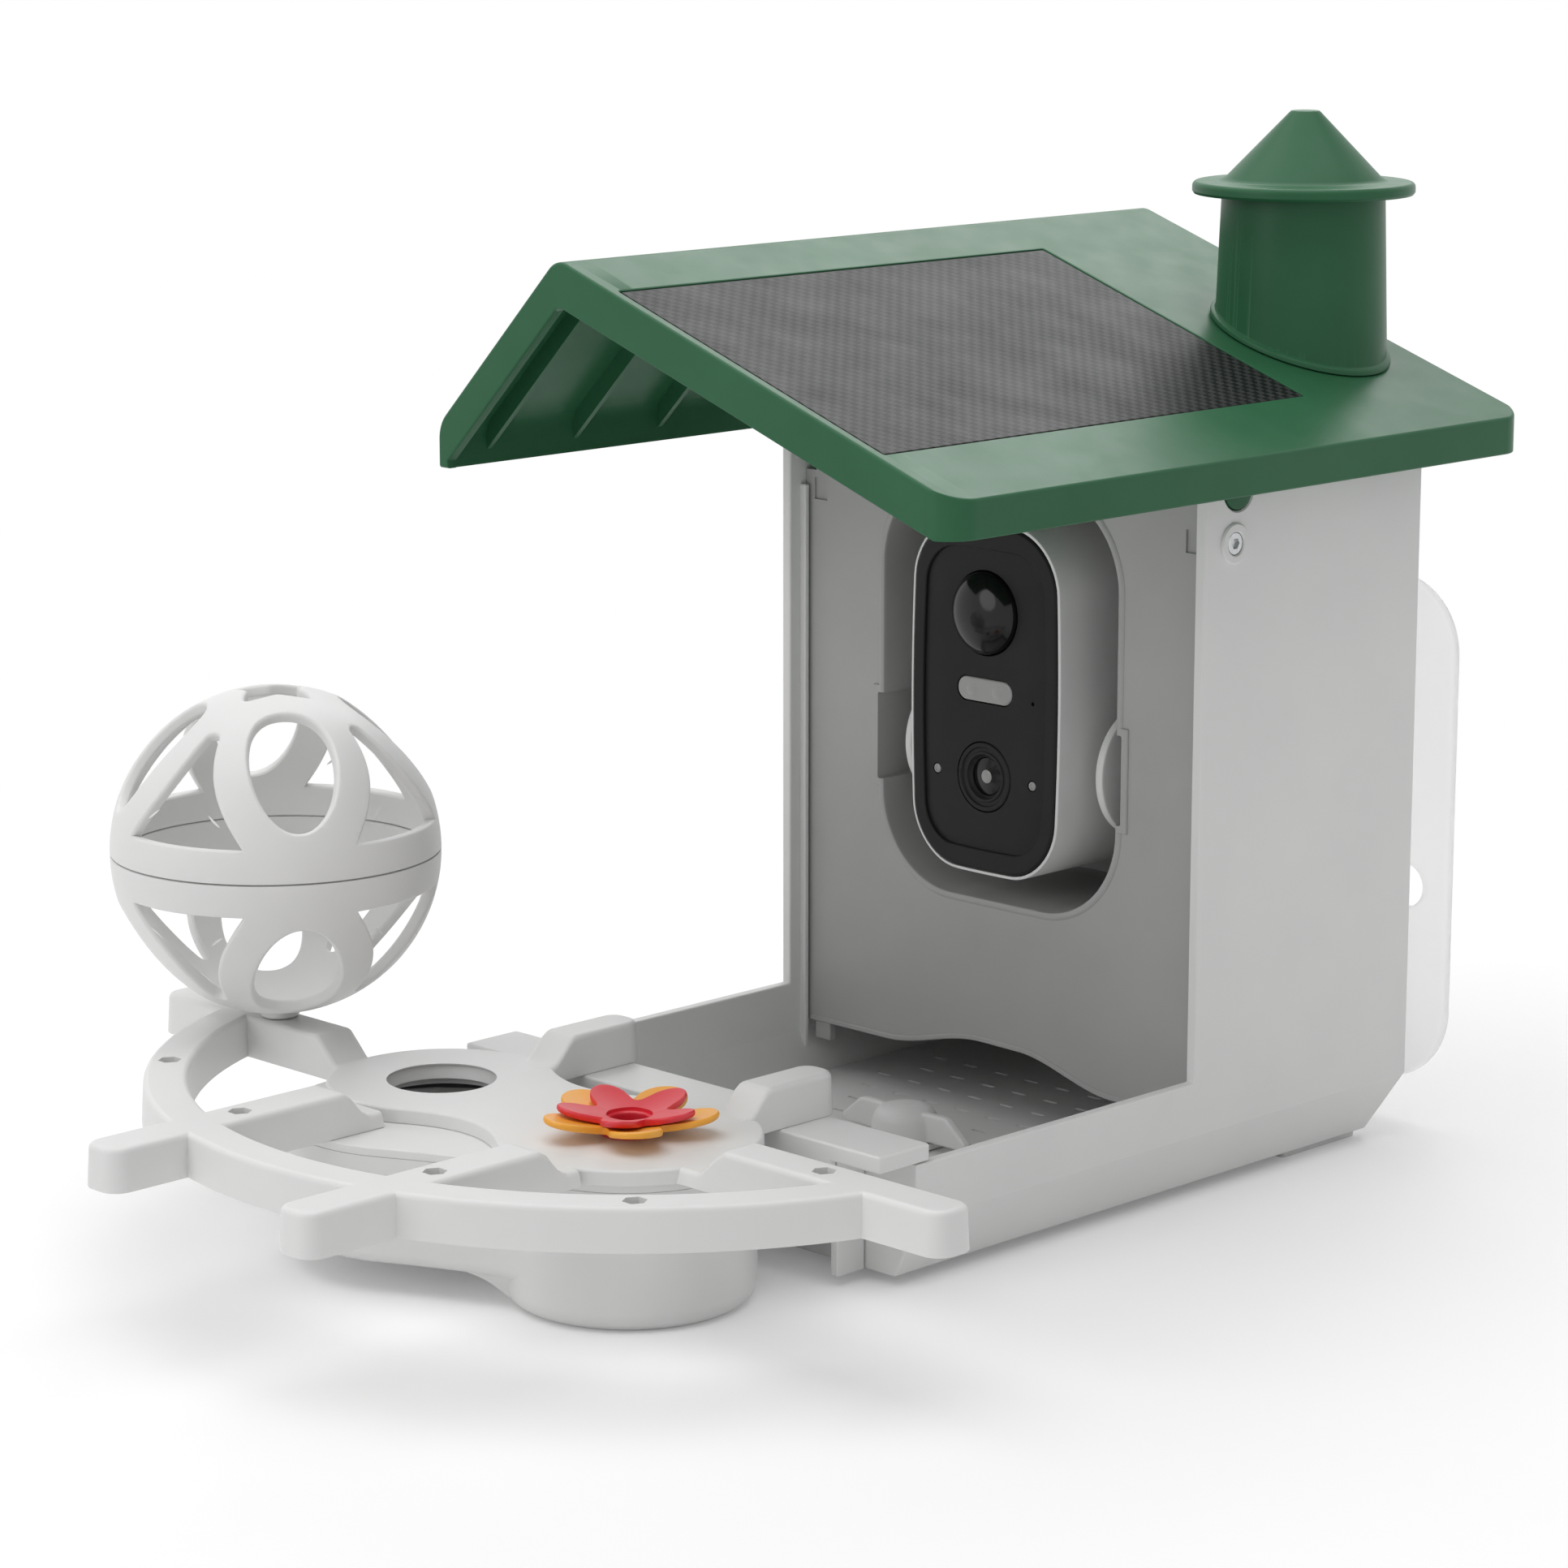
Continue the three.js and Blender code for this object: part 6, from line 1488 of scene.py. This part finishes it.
finish_on(
    "housing",
    (housing(), "house_body", "white_plastic", ["housing_shell"], 20),
    # The hopper front's grey is painted shade, standing in for the shade under the roof
    (hopper_panel(), "hopper_front", "grey_plastic", ["hopper_panel"]),
    (floor_liner(), "tray_liner", "white_plastic", ["floor_liner"]),
    (wall_plate(), "plate_on_wall", "frosted_plastic", ["wall_plate"]),
)
for side, name in ((-1, "left"), (1, "right")):
    tip, seat, head = side * (EAR_FACE - 7.5), side * SCREW_SEAT, side * (SCREW_SEAT + 1.4)
    front_foot, rear_foot = -TRAY_REACH + 8, HOUSE_DEPTH - REAR_CHAMFER - FOOT_LENGTH
    panel_screw = screw("x", (SCREW_Y, SCREW_Z), tip, seat, head, 1.8, 2.9, 1.5)
    finish_on("housing", (panel_screw, "house_screw_" + name, "steel", ["panel_screw_" + name]))
    finish_on("roof", (roof_pivot(side), "pivot_" + name, "green_plastic", ["roof_pivot_" + name]))
    finish_on(
        "housing",
        (foot(side, FOOT_EDGE - 10, front_foot), "front_pad_" + name, "white_plastic", ["foot_front_" + name]),
        (foot(side, FOOT_EDGE, rear_foot), "rear_pad_" + name, "white_plastic", ["foot_rear_" + name]),
    )

finish_on("housing", (hanger_frame(), "hanger_frame", "white_plastic", ["hanger_block"]))
for i, place in enumerate(PLATE_SCREWS):
    tip, seat, head = HOUSE_DEPTH - 3, PLATE_BACK - PLATE_SINK, PLATE_BACK - 0.2
    plate_screw = screw("y", place, tip, seat, head, 2, 3.6, 1.9)
    finish_on("housing", (plate_screw, "hanger_screw_%d" % (i + 1), "steel", ["plate_screw_%d" % (i + 1)]))

finish_on(
    "roof",
    (roof_shell(), "roof_cover", "green_plastic", ["roof_shell"]),
    (solar_panel(), "solar_cell_panel", "solar_cells", ["solar_panel"]),
    (filler_chimney(), "chimney_tube", "green_plastic", ["filler_chimney"]),
)
finish_on("cap", (chimney_cap(), "chimney_lid", "green_plastic", ["chimney_cap"]))

finish_on(
    "camera",
    (camera_shell(), "camera_housing", "white_plastic", ["camera_shell"]),
    (camera_band(), "camera_rim_band", "black_plastic", ["camera_face"]),
    (camera_field(), "camera_front", "black_plastic", ["camera_face"]),
    (sensor_dome(), "motion_dome", "dark_window", ["sensor_dome"]),
    (light_window(), "lamp_window", "light_cover", ["light_window"]),
    (lens_bezel(), "lens_ring", "black_plastic", ["lens_bezel"]),
    (lens_glass(), "lens_front", "dark_window", ["lens_glass"]),
    (lens_pupil(), "lens_pupil", "light_cover", ["lens_glass"]),
    (sensor_pin(-1), "sensor_left", "light_cover", ["light_sensor"]),
    (sensor_pin(1), "sensor_right", "light_cover", ["status_light"]),
    (cradle(), "camera_holder", "white_plastic", ["camera_cradle"]),
)

finish_on(
    "wheel",
    (perch_wheel(), "wheel_frame", "white_plastic", ["perch_wheel"]),
    (wheel_bracket(), "bracket_plate", "white_plastic", ["wheel_bracket"]),
    (nectar_bowl(), "nectar_cup", "white_plastic", ["nectar_bowl"]),
    (bowl_lid(), "nectar_lid", "white_plastic", ["bowl_lid"]),
)
finish_on("knob", (wing_knob(), "winged_knob", "white_plastic", ["wing_knob"]))
finish_on("ball", (ball_half(-1), "nest_lower", "white_plastic", ["ball_lower"]))
finish_on("ball_top", (ball_half(1), "nest_upper", "white_plastic", ["ball_upper"]))
finish_on(
    "flower",
    (petal_star(22, 6.3, 39.1, 0.18, 0.32, 0.6), "orange_petals", "orange_petal", ["lower_petals"]),
    (petal_star(17.6, 4.8, 40.7, 0.22, 0.15, 0.3), "red_petals", "red_petal", ["upper_petals"]),
    (flower_stem(), "flower_stem", "red_petal", ["upper_petals"]),
)


# Camera, floor and light

# The view: lens in millimetres, place in metres, height and side in degrees
VIEW_LENS, VIEW_PLACE, VIEW_FALL, VIEW_SIDE = 107.2741, (0.81956763, -0.81746012, 0.3558853), 11.91834, 44.95354

# Light on the object, and how the floor runs out to white
SKY_LIGHT = 0.42
FLOOR_FILL, FLOOR_NEAR, FLOOR_FAR, FLOOR_HALF = 0.14, 0.26, 0.6, 9

# Each lamp's name, place, aim, size and power
LAMPS = (
    ("overhead", (-0.2, 0.0, 1.9), (0, 0, 0.1), 2.6, 25),
    ("front", (-0.45, -1.9, 0.75), (0, 0, 0.08), 1.3, 7),
    ("behind", (-0.85, 1.4, 1.35), (0, 0, 0.2), 0.9, 5),
)


def view_camera():
    lens = bpy.data.cameras.new("view")
    lens.sensor_width = 36
    lens.lens = VIEW_LENS
    lens.clip_start = 0.05
    lens.clip_end = 50
    seat = placed("view", lens)
    seat.location = VIEW_PLACE
    seat.rotation_euler = (math.radians(90 - VIEW_FALL), 0, math.radians(VIEW_SIDE))
    bpy.context.scene.camera = seat


def lamp(name, place, aim, size, power):
    light = bpy.data.lights.new(name, "AREA")
    light.shape = "DISK"
    light.size = size
    light.energy = power
    seat = placed(name, light)
    seat.location = place
    seat.rotation_euler = (Vector(aim) - Vector(place)).to_track_quat("-Z", "Y").to_euler()


def seen_rays(tree):
    """One where the camera, a mirror or clear glass looks, nought where light is gathered."""
    path = tree.nodes.new("ShaderNodeLightPath")
    rays = path.outputs
    first = operate(tree, "ShaderNodeMath", "MAXIMUM", rays["Is Camera Ray"], rays["Is Glossy Ray"])
    return operate(tree, "ShaderNodeMath", "MAXIMUM", first, rays["Is Transmission Ray"])


def floor_finish():
    """A pale floor that keeps the object's shadow and runs out to plain white."""
    material, tree, shader = nodes_for("pale_floor")
    cloud = remap(tree, noise(tree, 3), *CLOUD, 0, 1)
    tree.links.new(blend_colours(tree, cloud, (0.9, 0.9, 0.9), (0.88, 0.88, 0.88)), shader.inputs["Base Color"])
    shader.inputs["Roughness"].default_value = 0.9
    shader.inputs["Specular IOR Level"].default_value = 0.1
    seen = seen_rays(tree)
    fill, white = tree.nodes.new("ShaderNodeEmission"), tree.nodes.new("ShaderNodeEmission")
    tree.links.new(remap(tree, seen, 0, 1, 0, FLOOR_FILL), fill.inputs["Strength"])
    lit = tree.nodes.new("ShaderNodeAddShader")
    tree.links.new(shader.outputs[0], lit.inputs[0])
    tree.links.new(fill.outputs[0], lit.inputs[1])
    place = tree.nodes.new("ShaderNodeTexCoord")
    away = tree.nodes.new("ShaderNodeVectorMath")
    away.operation = "LENGTH"
    tree.links.new(place.outputs["Object"], away.inputs[0])
    far = remap(tree, away.outputs["Value"], FLOOR_NEAR, FLOOR_FAR, 0, 1)
    far.node.interpolation_type = "SMOOTHSTEP"
    mix = tree.nodes.new("ShaderNodeMixShader")
    tree.links.new(operate(tree, "ShaderNodeMath", "MULTIPLY", far, seen), mix.inputs[0])
    tree.links.new(lit.outputs[0], mix.inputs[1])
    tree.links.new(white.outputs[0], mix.inputs[2])
    tree.links.new(mix.outputs[0], tree.nodes["Material Output"].inputs["Surface"])
    return material


def studio():
    world = bpy.data.worlds.new("studio")
    bpy.context.scene.world = world
    world.use_nodes = True
    tree = world.node_tree
    sky = tree.nodes["Background"]
    sky.inputs["Color"].default_value = (1, 1, 1, 1)
    tree.links.new(remap(tree, seen_rays(tree), 0, 1, SKY_LIGHT, 1.0), sky.inputs["Strength"])
    half = FLOOR_HALF
    corners = [(-half, -half, 0), (half, -half, 0), (half, half, 0), (-half, half, 0)]
    ground = solid(corners, [(0, 1, 2, 3)], "floor")
    ground.data.materials.append(floor_finish())
    for values in LAMPS:
        lamp(*values)


view_camera()
studio()
bpy.context.scene.view_settings.view_transform = "Standard"
